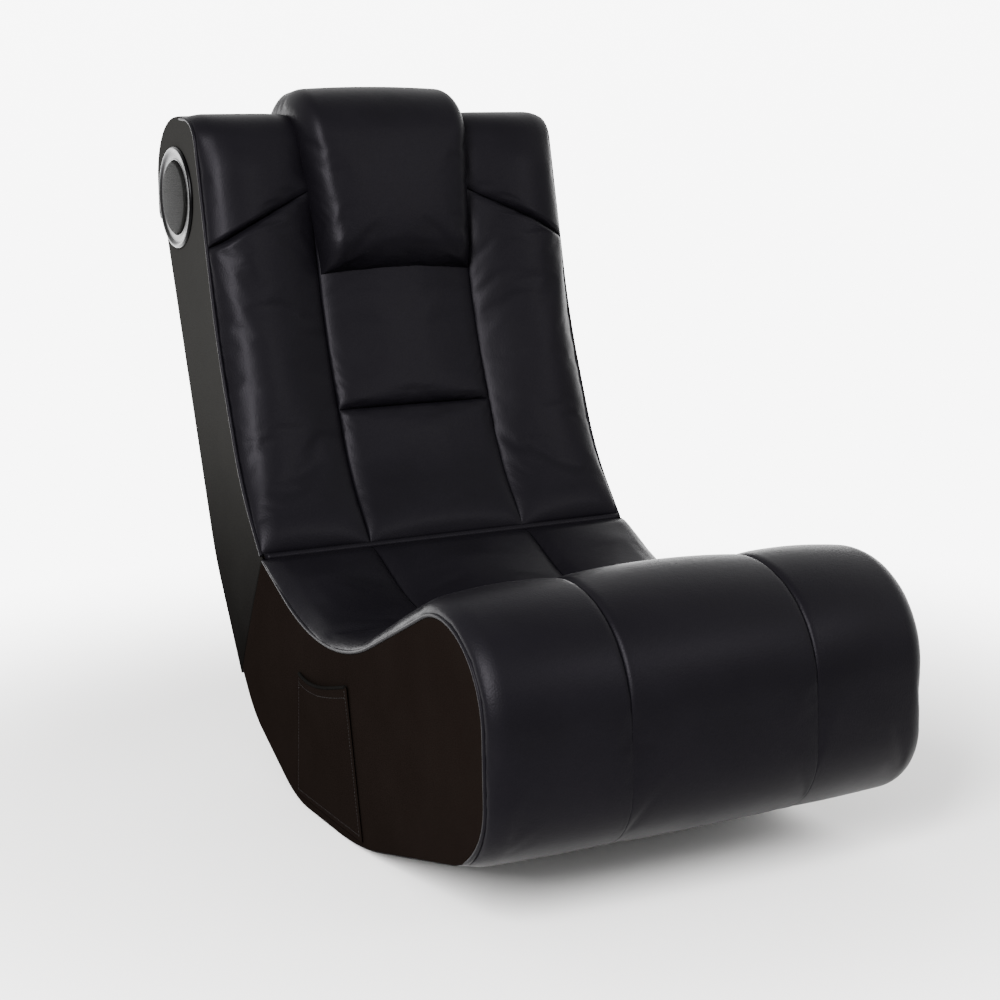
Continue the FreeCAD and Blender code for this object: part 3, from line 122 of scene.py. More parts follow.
rear_line = Outline((TOP_MIDDLE - TOP_LAP / 2, 0), (494.2 + 810j, 85), (499.1 + 682.1j, 15),
                    (474.1 + 678.1j, 8), (REAR_LOW, 300), (REAR_FOOT, 0))
print("lengths in mm:", [round(line.length) for line in (seat_face, base_line, back_face, rear_line)])

# %% [markdown]
# ## Meshes from grids
# A sewn panel is two faces that meet in one border. They could be made apart and welded, but here both are
# grids of points from a formula that share the points of the border, so the piece is closed from the start.

# %% Closed sheets and tubes


def grid_quads(index):
    """Four corner numbers of each cell of a grid of point numbers."""
    cells = [index[:-1, :-1], index[1:, :-1], index[1:, 1:], index[:-1, 1:]]
    return np.stack(cells, axis=-1).reshape(-1, 4)


def solid(x, place):
    """Points in millimetres from x and a side-view place, on one grid."""
    x, place = np.broadcast_arrays(x, place)
    return np.stack([x, place.real, place.imag], axis=-1)


def closed_sheet(front, rear):
    """Points and quads of two grids that share their border."""
    rows, columns = front.shape[:2]
    front_index = np.arange(rows * columns).reshape(rows, columns)
    rear_index = front_index.copy()
    inside = np.arange((rows - 2) * (columns - 2)).reshape(rows - 2, columns - 2)
    rear_index[1:-1, 1:-1] = rows * columns + inside
    points = np.concatenate([front.reshape(-1, 3), rear[1:-1, 1:-1].reshape(-1, 3)])
    return points, np.concatenate([grid_quads(front_index), grid_quads(rear_index)[:, ::-1]]).tolist()


def closed_tube(rings):
    """Points and faces of rings of points along a path, with a flat cap at each end."""
    count, around = rings.shape[:2]
    index = np.arange(count * around).reshape(count, around)
    quads = grid_quads(np.hstack([index, index[:, :1]]))
    return rings.reshape(-1, 3), quads.tolist() + [index[0].tolist(), index[-1].tolist()]


def merged(*parts):
    """Several point and face lists as one."""
    points, faces, used = [], [], 0
    for part_points, part_faces in parts:
        points.append(part_points)
        faces += [[number + used for number in face] for face in part_faces]
        used += len(part_points)
    return np.concatenate(points), faces


print("two faces of 3 x 3 points share 8 of 18:", len(closed_sheet(*np.zeros((2, 3, 3, 3)))[0]), "are left")

# %% Pieces


def outward_mesh(name, shape):
    """A mesh in metres from points in millimetres and faces: doubles merged, faces turned outwards."""
    points, faces = shape
    mesh = bpy.data.meshes.new(name)
    mesh.from_pydata((points * MM).tolist(), [], faces)
    shaping = bmesh.new()
    shaping.from_mesh(mesh)
    bmesh.ops.remove_doubles(shaping, verts=shaping.verts, dist=1e-6)
    bmesh.ops.recalc_face_normals(shaping, faces=shaping.faces)
    shaping.to_mesh(mesh)
    shaping.free()
    return mesh


def linked(name, data):
    """An object in the scene, at the origin."""
    made = bpy.data.objects.new(name, data)
    bpy.context.scene.collection.objects.link(made)
    return made


def piece(name, shape, material, body, stands_for=(), sharp=180):
    """One closed mesh, smooth up to an angle, that rides a body and stands for CAD nodes."""
    mesh = outward_mesh(name, shape)
    mesh.shade_smooth()
    mesh.set_sharp_from_angle(angle=np.radians(sharp))
    mesh.materials.append(material)
    made = linked(name, mesh)
    if body:
        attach(made, body)
    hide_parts(*stands_for)
    print(name, len(mesh.polygons), "faces")
    return made


# %% [markdown]
# ## Surfaces
# The pads and covers are black polyurethane leather with a fine pebble grain and a satin sheen. A painted
# map could show the grain, but maths on the object's own coordinates stays sharp at any distance.

# %% A socket with arithmetic


class Wire:
    """A shader socket. Arithmetic adds Math nodes, and node() adds any other node."""

    def __init__(self, tree, socket=None):
        self.tree = tree
        self.socket = socket

    def node(self, kind, settings, sockets, output=0):
        """Adds a node: its settings first, then the values or links of its sockets."""
        made = self.tree.nodes.new(kind)
        for name, value in settings.items():
            setattr(made, name, value)
        for name, value in sockets.items():
            if isinstance(value, Wire):
                self.tree.links.new(value.socket, made.inputs[name])
            else:
                made.inputs[name].default_value = value
        return Wire(self.tree, made.outputs[output])

    def math(self, operation, *others):
        """Adds a Math node whose first value is this socket."""
        return self.node("ShaderNodeMath", {"operation": operation}, dict(enumerate((self, *others))))

    def __add__(self, other):
        return self.math("ADD", other)

    def __sub__(self, other):
        return self.math("SUBTRACT", other)

    def __rsub__(self, other):
        return self.math("MULTIPLY", -1.0).math("ADD", other)

    def __mul__(self, other):
        return self.math("MULTIPLY", other)

    __radd__ = __add__
    __rmul__ = __mul__

    def noise(self, scale, detail=3.0):
        """Soft noise from 0 to 1 at this place, scale cells to the metre."""
        return self.node("ShaderNodeTexNoise", {}, {"Vector": self, "Scale": scale, "Detail": detail})

    def cells(self, scale):
        """Distance to the nearest cell centre, scale cells to the metre."""
        return self.node("ShaderNodeTexVoronoi", {}, {"Vector": self, "Scale": scale})

    def step(self, low, high, start=0.0, stop=1.0):
        """Smooth step from start to stop as this goes from low to high."""
        return self.node("ShaderNodeMapRange", {"interpolation_type": "SMOOTHSTEP"},
                         {"Value": self, "From Min": low, "From Max": high, "To Min": start, "To Max": stop})

    def axis(self, number):
        """One coordinate of this place."""
        return self.node("ShaderNodeSeparateXYZ", {}, {0: self}, number)

    def between(self, low, high):
        """Colour from low to high as this goes from 0 to 1."""
        return self.node("ShaderNodeMix", {"data_type": "RGBA"}, {0: self, 6: low, 7: high}, 2)

    def relief(self, depth):
        """Normal of a surface raised by this height, 1 being depth metres."""
        return self.node("ShaderNodeBump", {}, {"Strength": 1.0, "Distance": depth, "Height": self})


def surface(name, constants, paint):
    """A material: constants on the shader's sockets, then what paint makes of the object's coordinates."""
    material = bpy.data.materials.new(name)
    material.use_nodes = True
    tree = material.node_tree
    shader = tree.nodes["Principled BSDF"]
    for socket, value in constants.items():
        shader.inputs[socket].default_value = value
    place = Wire(tree).node("ShaderNodeTexCoord", {}, {}, "Object")
    for socket, wire in paint(place).items():
        tree.links.new(wire.socket, shader.inputs[socket])
    print("material", name, "has", len(tree.nodes), "nodes")
    return material


# %% Leather


def leather(dark, light, dull, grain, painted_shade_by_height=0.0):
    """Paint of grained leather: two tones in patches, or darker lower down as painted shade; a changing
    sheen, pebbles and creases.
    """
    def paint(place):
        patches = place.noise(14.0)
        pebbles = place.cells(520.0) * 0.5 + place.noise(900.0) * 0.25
        creases = place.noise(70.0, 5.0)
        # Painted shade: by the height share, the tone runs from the dark colour below 0.10 m to the light
        # one above 0.52 m, as if light fell from above.
        tone = patches * (1 - painted_shade_by_height) + place.axis(2).step(0.10, 0.52) * painted_shade_by_height
        return {
            "Base Color": tone.between(dark, light),
            "Roughness": dull + patches * 0.12 + pebbles * 0.06,
            "Normal": (pebbles * grain + creases * 0.35).relief(0.0005),
        }
    return paint


# The purple specular tint stands in for bluish light: a painted tint on the leather's reflections.
pad_leather = surface("pad leather", {"Specular IOR Level": 0.043, "Specular Tint": (0.95, 0.9, 1.0, 1)},
                      leather((0.0018, 0.0016, 0.0022, 1), (0.003, 0.0027, 0.0036, 1), 0.32, 0.4))
# Painted light and shade: the two side leathers are lit and shaded copies of the pads' black leather. The
# back's sides and rear are a lighter grey, painted darker lower down; the seat's sides are a darker brown
# black, whose brown stands in for warm light from the floor.
painted_light_side_leather = surface("painted light side leather", {"Specular IOR Level": 0.0},
                       leather((0.0015, 0.0013, 0.0012, 1), (0.0150, 0.0147, 0.0140, 1), 0.5, 0.6, 0.85))
painted_shade_seat_leather = surface("painted shade seat leather", {"Specular IOR Level": 0.0},
                            leather((0.0033, 0.0023, 0.0019, 1), (0.0045, 0.0033, 0.0028, 1), 0.5, 0.6))

# %% Woven cloth


def weave(pitch, dark, light):
    """Paint of plain woven cloth: sin(2 pi x / pitch) times sin(2 pi y / pitch)."""
    def paint(place):
        turn = 2 * np.pi / pitch
        threads = (place.axis(0) * turn).math("SINE") * (place.axis(1) * turn).math("SINE") * 0.5 + 0.5
        return {
            "Base Color": threads.between(dark, light),
            "Normal": (threads + place.noise(60.0) * 0.5).relief(0.0002),
        }
    return paint


base_cloth = surface("base cloth", {"Roughness": 0.9, "Specular IOR Level": 0.05},
                     weave(0.0016, (0.006, 0.006, 0.0065, 1), (0.014, 0.014, 0.0145, 1)))

# %% [markdown]
# ## The seat pads
# Three leather panels run from under the roll, up its front, over the top, through the dip and up to the
# crease. They are sewn to each other in two valleys, and each is blown up by its foam. A cushion could be
# sculpted, but a height over the outline keeps each seam on its line: h = border + (top - border) w, where w
# falls from 1 to nothing at the four edges along a quarter round.

# %% Steps and rounds


def eased(count, pull=0.85):
    """Steps from 0 to 1 that lie closer at both ends: t - pull sin(2 pi t) / (2 pi)."""
    t = np.linspace(0, 1, count)
    return t - pull * np.sin(2 * np.pi * t) / (2 * np.pi)


def ramp(low, high, value):
    """Smooth step from 0 at low to 1 at high: t t (3 - 2 t)."""
    t = np.clip((value - low) / (high - low), 0, 1)
    return t * t * (3 - 2 * t)


def rounded(distance, radius):
    """Share of the full height at a distance from an edge: sqrt(1 - (1 - d / r)^2), then 1."""
    return np.sqrt(1 - np.clip(1 - distance / radius, 0, 1) ** 2)


def arch(share):
    """Swell across a pad, greatest in the middle: 1 - (2 share - 1)^2."""
    return 1 - (2 * share - 1) ** 2


def soft_limit(height, limit, corner=1.5):
    """The lower of two heights with a soft corner of about 1.5 mm."""
    return -corner * np.logaddexp(-height / corner, -limit / corner)


print("share of the height by quarters of a round:", rounded(np.linspace(0, 1, 5), 1.0).round(2))

# %% Cushions over an outline
PAD_DEPTH = 24.0     # how deep the rear of a cushion lies under its outline
CREASE_GAP = 2.8     # what the pads leave free at the crease
LIP = 4              # how far an outer pad swells past its sewing line
FOLD_SLOPE = 29.85   # degrees at which the room over a pad opens from the crease
FOLD_DEPTH = -8.3    # height of the tip of that room
FOLD_SETBACK = 1.87  # how far the tip lies behind the crease


def straight(run):
    """An end of a pad that lies square across it, at one length along the outline."""
    return lambda x: run + 0 * x


def pad_grid(low, high, inner, outer, rows, columns):
    """Length, x and share of the width over a pad whose ends low(x) and high(x) may slant."""
    share = eased(columns)[None, :]
    x = inner + (outer - inner) * share
    run = low(x) + (high(x) - low(x)) * eased(rows)[:, None]
    return run, x + 0 * run, share + 0 * run


def crease_limit(distance):
    """Greatest height at a distance from the crease that leaves room for the fold."""
    return FOLD_DEPTH + np.tan(np.radians(FOLD_SLOPE)) * (distance + FOLD_SETBACK)


def cushion(outline, run, x, top, border, rounds, limit, lip, side=1):
    """A cushion of height border + (top - border) w. The lip swells its outer edge past the sewing line."""
    start, end, first, last = rounds
    edge = rounded(abs(x[:, -1:] - x), last)
    ends = rounded(run - run[:1], start) * rounded(run[-1:] - run, end)
    share = ends * edge * rounded(abs(x - x[:, :1]), first)
    height = soft_limit(border + (top - border) * share, limit)
    swollen = x + lip * np.sin(np.pi * edge)
    front = solid(side * swollen, outline.at(run, height))
    rear = solid(side * x, outline.at(run, -PAD_DEPTH))
    return closed_sheet(front, rear), run.shape


room = crease_limit(np.array([0, 40, 80]))
print("room for the fold 0, 40 and 80 mm from the crease:", room.round(1), "mm")

# %% Shape of a seat pad
SEAM_X = 107.0
PAD_X = 249.0
HALF_WIDTH = 253.0
ROLL_LENGTH = 600    # the top of the roll lies within this length
roll_top = seat_face.run[np.argmax(seat_face.place.imag[:ROLL_LENGTH])]
dip = roll_top + np.argmin(seat_face.place.imag[int(roll_top):])


def seat_shape(inner, outer, side, middle):
    """One seat pad: a barrel-shaped roll in front whose seams fade out low down, a full pad behind."""
    run, x, share = pad_grid(straight(0), straight(seat_face.length - CREASE_GAP), inner, outer, 200, 46)
    seated = ramp(roll_top, dip, run)
    climbed = ramp(150, 260, run)
    rolled = ramp(0, 130, run) * (1 - ramp(roll_top + 20, dip, run))
    x = x * (1.01 + 0.015 * rolled)
    seam = 0.1 + 3.2 * climbed + 4 * seated
    barrel = (4 + (16 - 8 * ramp(roll_top - 160, roll_top, run)) * (1 - (x / HALF_WIDTH) ** 2)) * rolled
    top = (0.3 + 3.2 * climbed + 6 * seated) * arch(share) + barrel
    seam_round = 4 + 5 * climbed + 8 * seated
    border = barrel - seam
    from_crease = seat_face.length - run
    rounds = (6, 26, seam_round, seam_round)
    if not middle:
        welt = -12 + 8 * (1 - ramp(0, 70, run)) + 3.5 * ramp(40, 0, from_crease)
        border = border * (1 - share) + welt * share
        rounds = (6, 26, seam_round, 18)
    lip = 0 if middle else LIP
    return cushion(seat_face, run, x, top, border, rounds, crease_limit(from_crease), lip, side)


print("the roll is highest at", round(roll_top), "mm and the dip lowest at", round(dip), "mm along the seat")

# %% Make the seat pads
SIDES = (("right", -1), ("left", 1))
pads = []


def pad_piece(name, cushion_shape, body, node):
    """A cushion in pad leather that stands for one CAD pad."""
    shape, grid = cushion_shape
    made = piece(name, shape, pad_leather, body, [node])
    pads.append((made, grid))


pad_piece("seat_centre_cushion", seat_shape(-SEAM_X, SEAM_X, 1, True), "seat", "seat_pad_centre")
for side_name, side in SIDES:
    outer_shape = seat_shape(SEAM_X, PAD_X, side, False)
    pad_piece(f"seat_{side_name}_cushion", outer_shape, "seat", f"seat_pad_{side_name}")

# %% [markdown]
# ## The back
# The back has a flat centre in two panels, a full bolster at each side, a wing above each bolster behind a
# slanting tuck, and a box headrest between the wings. Each could be a model of its own, but all lie on one
# outline, so they use the same cushion with other heights and ends.

# %% Centre panels and headrest
FREE = 1e3    # a limit that is never reached


def centre_shape(low, high, rounds):
    """A flat centre panel of the back."""
    run, x, share = pad_grid(straight(low), straight(high), -SEAM_X, SEAM_X, 110, 60)
    return cushion(back_face, run, x, 5 * arch(share), -6.5 + 0 * x, rounds, crease_limit(run), 0)


def headrest_shape(foot_z=612, half_width=105.0):
    """A box cushion that stands proud of the back and laps over its top, wider at the top."""
    run, x, share = pad_grid(straight(back_face.level(foot_z)), straight(back_face.length - 2),
                             -half_width, half_width, 130, 70)
    height = (run - run[:1]) / (run[-1:] - run[:1])
    x = x * (1 + 0.14 * ramp(0, 0.75, height))
    over = ramp(back_face.level(780), back_face.length - 60, run)
    top = 32 - 4 * over + 6 * arch(share) * np.sin(np.pi * height)
    return cushion(back_face, run, x, top, -5.0 + 0 * run, (40, 24, 26, 26), FREE, 0)


middle_seam = back_face.level(444)
centre_top = back_face.level(700)
pad_piece("back_lower_cushion", centre_shape(CREASE_GAP, middle_seam, (40, 13, 19, 19)), "back",
          "back_pad_lower")
pad_piece("back_upper_cushion", centre_shape(middle_seam, centre_top, (13, 9, 19, 19)), "back",
          "back_pad_upper")

# %% Bolsters and wings


def tuck(x):
    """Length along the back of the slanting tuck between bolster and wing."""
    return back_face.level(720 - 70 * (x - SEAM_X) / (PAD_X - SEAM_X))


def crest(share):
    """Swell across a side cushion, greatest two thirds out: sin(pi share^1.7)."""
    return np.sin(np.pi * share ** 1.7)


def tuck_lift(distance, share):
    """The tuck is sewn higher than other edges: its lift at a distance from it, by share of the width."""
    return (7 + 10 * crest(share)) * (1 - share ** 8) * (1 - ramp(0, 30, distance))


def bolster_shape(side):
    """A bolster from the crease to the tuck, fuller higher up."""
    run, x, share = pad_grid(straight(CREASE_GAP), tuck, SEAM_X, PAD_X, 150, 50)
    top = 3 + (3 + 14 * ramp(30, 300, run)) * crest(share)
    border = -9 - 3 * share + tuck_lift(run[-1:] - run, share)
    return cushion(back_face, run, x, top, border, (40, 11, 45, 24), crease_limit(run), LIP, side)


def wing_shape(side):
    """A wing from the tuck over the top of the back."""
    run, x, share = pad_grid(tuck, straight(back_face.length - 1), SEAM_X, PAD_X, 110, 50)
    over = ramp(back_face.level(740), back_face.length - 60, run)
    top = (3 + 14 * crest(share)) * (1 - over) - 2 * over
    border = -8 + (7 * ramp(70, 0, run[-1:] - run) - 4) * share + tuck_lift(run - run[:1], share)
    return cushion(back_face, run, x, top, border, (9, 10, 45, 20), FREE, LIP, side)


for side_name, side in SIDES:
    pad_piece(f"bolster_{side_name}_cushion", bolster_shape(side), "back", f"back_bolster_{side_name}")
    pad_piece(f"wing_{side_name}_cushion", wing_shape(side), "back", f"back_wing_{side_name}")
pad_piece("headrest_cushion", headrest_shape(), "back", "headrest")

# %% [markdown]
# ## The stretch of the leather
# Real leather is a little longer than the line it is sewn to, so it puckers beside its seams. Folds could
# be drawn by hand, but here each face is cloth for twenty frames: pinned at its seams, blown up by its
# filling, and free to move a few millimetres. Near the crease it stays put, so that the fold has room.

# %% Cloth under pressure
FRAMES = 20
KEPT_SHARE = 0.35     # share of the cloth's movement that the leather makes
LARGEST_MOVE = 0.004  # in metres


def sewn_cloth(points, grid):
    """The outer face of a cushion as cloth: its faces turned from the filling, its border sewn down."""
    count = grid[0] * grid[1]
    index = np.arange(count).reshape(grid)
    quads = grid_quads(index)
    corners = points[quads]
    facing = np.cross(corners[:, 1] - corners[:, 0], corners[:, 3] - corners[:, 0])
    inwards = points[count:].mean(axis=0) - points[:count].mean(axis=0)
    quads = quads[:, ::-1] if facing.sum(axis=0) @ inwards > 0 else quads
    mesh = bpy.data.meshes.new("cloth")
    mesh.from_pydata(points[:count].tolist(), [], quads.tolist())
    cloth = linked("cloth", mesh)
    border = np.concatenate([index[0], index[-1], index[:, 0], index[:, -1]])
    cloth.vertex_groups.new(name="sewn").add(np.unique(border).tolist(), 1.0, "REPLACE")
    return cloth


def blown_up(cloth):
    """Points of a sewn cloth after its frames under pressure."""
    stretch = cloth.modifiers.new("stretch", "CLOTH")
    stretch.point_cache.frame_start = 1
    stretch.point_cache.frame_end = FRAMES
    settings = stretch.settings
    settings.quality = 5
    settings.mass = 0.3
    settings.bending_stiffness = 1.0
    settings.vertex_group_mass = "sewn"
    settings.use_pressure = True
    settings.uniform_pressure_force = 4.0
    settings.shrink_min = -0.01
    settings.effector_weights.gravity = 0
    for number in range(1, FRAMES + 1):
        bpy.context.scene.frame_set(number)
    blown = cloth.evaluated_get(bpy.context.evaluated_depsgraph_get()).data
    moved = np.empty(len(blown.vertices) * 3)
    blown.vertices.foreach_get("co", moved)
    return moved.reshape(-1, 3)


# %% Blow up the cushions


def plump(made, grid):
    """Moves a cushion's face by a share of what cloth under pressure does, less near the crease."""
    count = grid[0] * grid[1]
    flat = np.empty(len(made.data.vertices) * 3)
    made.data.vertices.foreach_get("co", flat)
    points = flat.reshape(-1, 3)
    cloth = sewn_cloth(points, grid)
    step = KEPT_SHARE * (blown_up(cloth) - points[:count])
    length = np.linalg.norm(step, axis=1, keepdims=True)
    from_axis = abs(points[:count, 1:2] + 1j * points[:count, 2:3] - AXIS * MM)
    step *= np.minimum(1, LARGEST_MOVE / np.maximum(length, 1e-9)) * ramp(0.02, 0.08, from_axis)
    points[:count] += step
    made.data.vertices.foreach_set("co", points.ravel())
    made.data.update()
    bpy.data.objects.remove(cloth)
    bpy.context.scene.frame_set(1)
    print(made.name, "moved by up to", round(float(np.linalg.norm(step, axis=1).max()) * 1000, 1), "mm")


for made, grid in pads:
    plump(made, grid)

# %% [markdown]
# ## The side covers
# A leather panel is stretched over each side board, tucked under the lip of the pads. It could be cut from a
# flat plate, but ruled lines from the edge under the pads to the base or the rear follow both outlines, and
# the panel can swell a little in the middle.

# %% Panels between two edges
COVER_DEPTH = 3.5
COVER_EDGE = 1.4    # how far the edge of a cover lies inside the side of the body
ROLL_SPREAD = 5     # how much further out the sides lie at the roll


def side_x(y):
    """Half width of the body at a place along its length, wider towards the roll."""
    return HALF_WIDTH + ROLL_SPREAD * ramp(-100, -420, y)


def side_shape(face, far, swell, side):
    """A panel between two edges given as places along each: (1 - v) face + v far, swollen outwards."""
    v = eased(60)[None, :]
    place = (1 - v) * face[:, None] + v * far[:, None]
    width = abs(far - face)[:, None]
    edge = rounded(np.minimum(v, 1 - v) * width, 9.0) * rounded(abs(place - place[-1:]), 3.0)
    swollen = COVER_EDGE + swell * np.sin(np.pi * v) * np.clip(width / 200, 0, 1)
    out = side_x(place.real) - COVER_EDGE + swollen * edge
    return closed_sheet(solid(side * out, place), solid(side * (side_x(place.real) - COVER_DEPTH), place))


print("half width at the back and at the roll:", side_x(0.0), side_x(-450.0), "mm")

# %% Edges of the side covers
WELT_DROP = 11.0
EDGE_ROWS = 150
EDGE_PULL = 0.6
PARTING = 0.25    # how far each cover keeps from the parting
HEM = -2.0        # height of a cover's hem at the base and the rear


def along(outline, start, stop, height):
    """Places along an outline from one length to another, at a height outside it."""
    return outline.at(start + (stop - start) * eased(EDGE_ROWS, EDGE_PULL), height)


def split_row(places, offset):
    """The same places with the last one moved onto the parting line, offset to the front of it."""
    ends = places.copy()
    across = -1j * SPLIT
    ends[-1] += (offset - ((ends[-1] - AXIS) / across).real) * across
    return ends


def welt_height(distance):
    """Height of a side cover's upper edge at a distance from the free end of the pads."""
    return -2.5 - (WELT_DROP - 2.5) * ramp(0, 70, distance)


steps = eased(EDGE_ROWS, EDGE_PULL)
seat_edge = along(seat_face, 1, seat_face.length + 4, welt_height(seat_face.length * steps))
seat_foot = along(base_line, base_line.length - 1, 0, HEM)
back_edge = along(back_face, back_face.length - 22, -4, welt_height(back_face.length * steps))
back_rear = along(rear_line, 5, rear_line.length, HEM)
print("greatest height of the seat's and the back's side:", round(abs(seat_edge - seat_foot).max()), "and",
      round(abs(back_edge - back_rear).max()), "mm")

# %% Make the side covers
side_covers = {}
for side_name, side in SIDES:
    seat_panel = side_shape(split_row(seat_edge, PARTING), split_row(seat_foot, PARTING), 1.0, side)
    piece(f"seat_{side_name}_side", seat_panel, painted_shade_seat_leather, "seat",
          [f"seat_side_cover_{side_name}"])
    back_panel = side_shape(split_row(back_edge, -PARTING), split_row(back_rear, -PARTING), 1.2, side)
    side_covers[side_name] = piece(f"back_{side_name}_side", back_panel, painted_light_side_leather, "back",
                                   [f"back_side_cover_{side_name}"])

# %% [markdown]
# ## Base and rear
# The base wears a hard cloth, and the rear of the back a leather panel. A thickened plane would have to be
# bent to shape, so both are sheets over their outlines, drawn in at their edges where they are tacked down.

# %% Base and rear covers
TACKED_DEPTH = 2.0


def outline_sheet(outline, start, stop, swell):
    """A panel over an outline across the whole width, swollen by swell sin(pi share) between its edges."""
    run, x, share = pad_grid(straight(start), straight(stop), -1.0, 1.0, 130, 60)
    x = x * (side_x(outline.at(run).real) - 0.6)
    ends = rounded(run - run[:1], 8) * rounded(run[-1:] - run, 8)
    sides = rounded(x - x[:, :1], 8) * rounded(x[:, -1:] - x, 8)
    height = -TACKED_DEPTH + (TACKED_DEPTH + swell * np.sin(np.pi * share)) * ends * sides
    return closed_sheet(solid(x, outline.at(run, height)), solid(x, outline.at(run, -TACKED_DEPTH - 1.0)))


piece("base_cover", outline_sheet(base_line, 0.5, base_line.length, 0.0), base_cloth, "seat",
      ["rocker_base_cover"])
piece("rear_cover", outline_sheet(rear_line, 0, rear_line.length - 0.5, 3.0), painted_light_side_leather, "back",
      ["back_rear_cover"])

# %% [markdown]
# ## Piping
# A cord sewn in leather follows the edge between pads and side covers. A bevelled curve could draw it; here
# a circle is carried along the outline so that the cord is one closed mesh.

# %% Piping
CORD_RADIUS = 2.4


def cord_rings(centres, radius, across, out, around=14):
    """Circles along a path: c + r (cos t across + sin t out)."""
    turn = np.linspace(0, 2 * np.pi, around, endpoint=False)[None, :, None]
    return centres[:, None] + radius * (np.cos(turn) * across[:, None] + np.sin(turn) * out[:, None])


def piping(outline, start, stop, side):
    """A cord along an outline to the crease, just above the side cover's edge, sunk at its free end."""
    run = np.linspace(start, stop, 240)
    out = np.interp(run, outline.run, outline.normal)
    distance = abs(run - start)
    places = outline.at(run, -4.2 - 5.3 * ramp(0, 70, distance))
    centres = solid(side * (side_x(places.real) - 3.7 + 2.5 * ramp(0, 40, distance)), places)
    across = solid(1 + 0 * run, 0j * run)
    return closed_tube(cord_rings(centres, CORD_RADIUS, across, solid(0 * run, out)))


for name, outline, start, stop, body in (("seat_piping", seat_face, 4, seat_face.length - 2, "seat"),
                                         ("back_piping", back_face, back_face.length - 8, 2, "back")):
    cords = [piping(outline, start, stop, side) for side_name, side in SIDES]
    piece(name + "_cord", merged(*cords), pad_leather, body, [name], 60)

# %% [markdown]
# ## The pocket
# A flat pocket is sewn to the sitter's right side of the seat along its foot and its two ends. Its mouth is
# bound with a cord of leather and hangs open. A thin box would look sewn shut, so the pocket is one grid
# with a thickness, whose distance from the side grows towards the mouth.

# %% Pocket
MOUTH_FRONT = -123 + 186j
MOUTH_REAR = 28 + 167j
FOOT_FRONT = -152 + 14j
FOOT_REAR = 48 + 14j
POCKET_THICKNESS = np.array([1.5, 0, 0])


def pocket_grid(u, v):
    """The pocket's outer face: u from rear to front, v from foot to mouth, gaping by sin(pi u) v^2.5."""
    foot = FOOT_REAR + (FOOT_FRONT - FOOT_REAR) * u
    mouth = MOUTH_REAR + (MOUTH_FRONT - MOUTH_REAR) * u - 9j * np.sin(np.pi * u ** 0.8)
    place = foot + (mouth - foot) * v
    gap = 2.6 + 4.6 * np.sin(np.pi * u) ** 0.8 * v ** 2.5 + 1.6 * np.exp(-((1 - u) / 0.07) ** 2) * v
    return solid(-side_x(place.real) - gap, place)


pocket_face = pocket_grid(eased(60, 0.7)[None, :], eased(50, 0.6)[:, None])
pocket = piece("pocket_sheet", closed_sheet(pocket_face, pocket_face + POCKET_THICKNESS),
               painted_shade_seat_leather, "seat", ["side_pocket"])

# %% Stitches


def stitches(path, out, pitch, length, radius):
    """Threads along a path of points with outward directions: one spindle of four rings every pitch."""
    run = np.concatenate([[0], np.cumsum(np.linalg.norm(np.diff(path, axis=0), axis=1))])
    middles = np.arange(pitch, run[-1] - pitch / 2, pitch)

    def at(values, where):
        return np.stack([np.interp(where, run, values[:, k]) for k in range(3)], axis=-1)

    ahead = at(path, middles + length / 2) - at(path, middles - length / 2)
    ahead /= np.linalg.norm(ahead, axis=1, keepdims=True)
    up = at(out, middles)
    turn = np.linspace(0, 2 * np.pi, 6, endpoint=False)[None, None, :, None]
    station = np.array([-0.5, -0.3, 0.3, 0.5])[None, :, None, None] * length
    width = np.array([0.25, 1, 1, 0.25])[None, :, None, None] * radius
    ahead, up, middle = ahead[:, None, None], up[:, None, None], at(path, middles)[:, None, None]
    rings = middle + station * ahead + width * (np.cos(turn) * np.cross(ahead, up) + np.sin(turn) * up)
    index = np.arange(rings[..., 0].size).reshape(rings.shape[:3])
    index = np.concatenate([index, index[..., :1]], axis=2)
    cells = [index[:, :-1, :-1], index[:, 1:, :-1], index[:, 1:, 1:], index[:, :-1, 1:]]
    quads = np.stack(cells, axis=-1).reshape(-1, 4)
    caps = np.concatenate([index[:, 0, :-1], index[:, -1, :-1]])
    return rings.reshape(-1, 3), quads.tolist() + caps.tolist()


thread = surface("thread",
                 {"Roughness": 0.8, "Specular IOR Level": 0.05, "Base Color": (0.006, 0.005, 0.005, 1)},
                 lambda place: {"Normal": place.noise(2000.0).relief(0.0001)})

# %% Binding and seams of the pocket
BINDING_RADIUS = 2.0
line = np.linspace(0.02, 0.98, 200)
outward = np.tile([-1.0, 0, 0], (200, 1))
upward = np.tile([0, 0, 1.0], (200, 1))
mouth_rim = pocket_grid(line, 1 + 0 * line) + np.array([0.6, 0, 0])
binding_rings = cord_rings(mouth_rim, BINDING_RADIUS, outward, upward)
# The binding is in the lighter leather of the back's sides: a painted highlight along the rim of the
# pocket's mouth.
binding = piece("pocket_binding", closed_tube(binding_rings), painted_light_side_leather, "seat", [], 60)
seam_lines = ((0.03 + 0 * line, line), (0.97 + 0 * line, line), (line, 0.04 + 0 * line),
              (line, 0.93 + 0 * line))
seams = [stitches(pocket_grid(u, v), outward, pitch=4.0, length=3.0, radius=0.45) for u, v in seam_lines]
pocket_thread = piece("pocket_stitching", merged(*seams), thread, "seat", [], 60)

# %% [markdown]
# ## The speakers
# A dished ring of satin metal frames a raised disc of perforated mesh. Both are turned shapes: a profile of
# radius and height goes round the speaker's axis. The holes of the mesh could be cut, but thousands of them
# are lighter as a pattern of colour and relief, the holes painted dark as the shade behind them. The side
# cover has a round hole behind ring and disc.

# %% Metals of the speaker


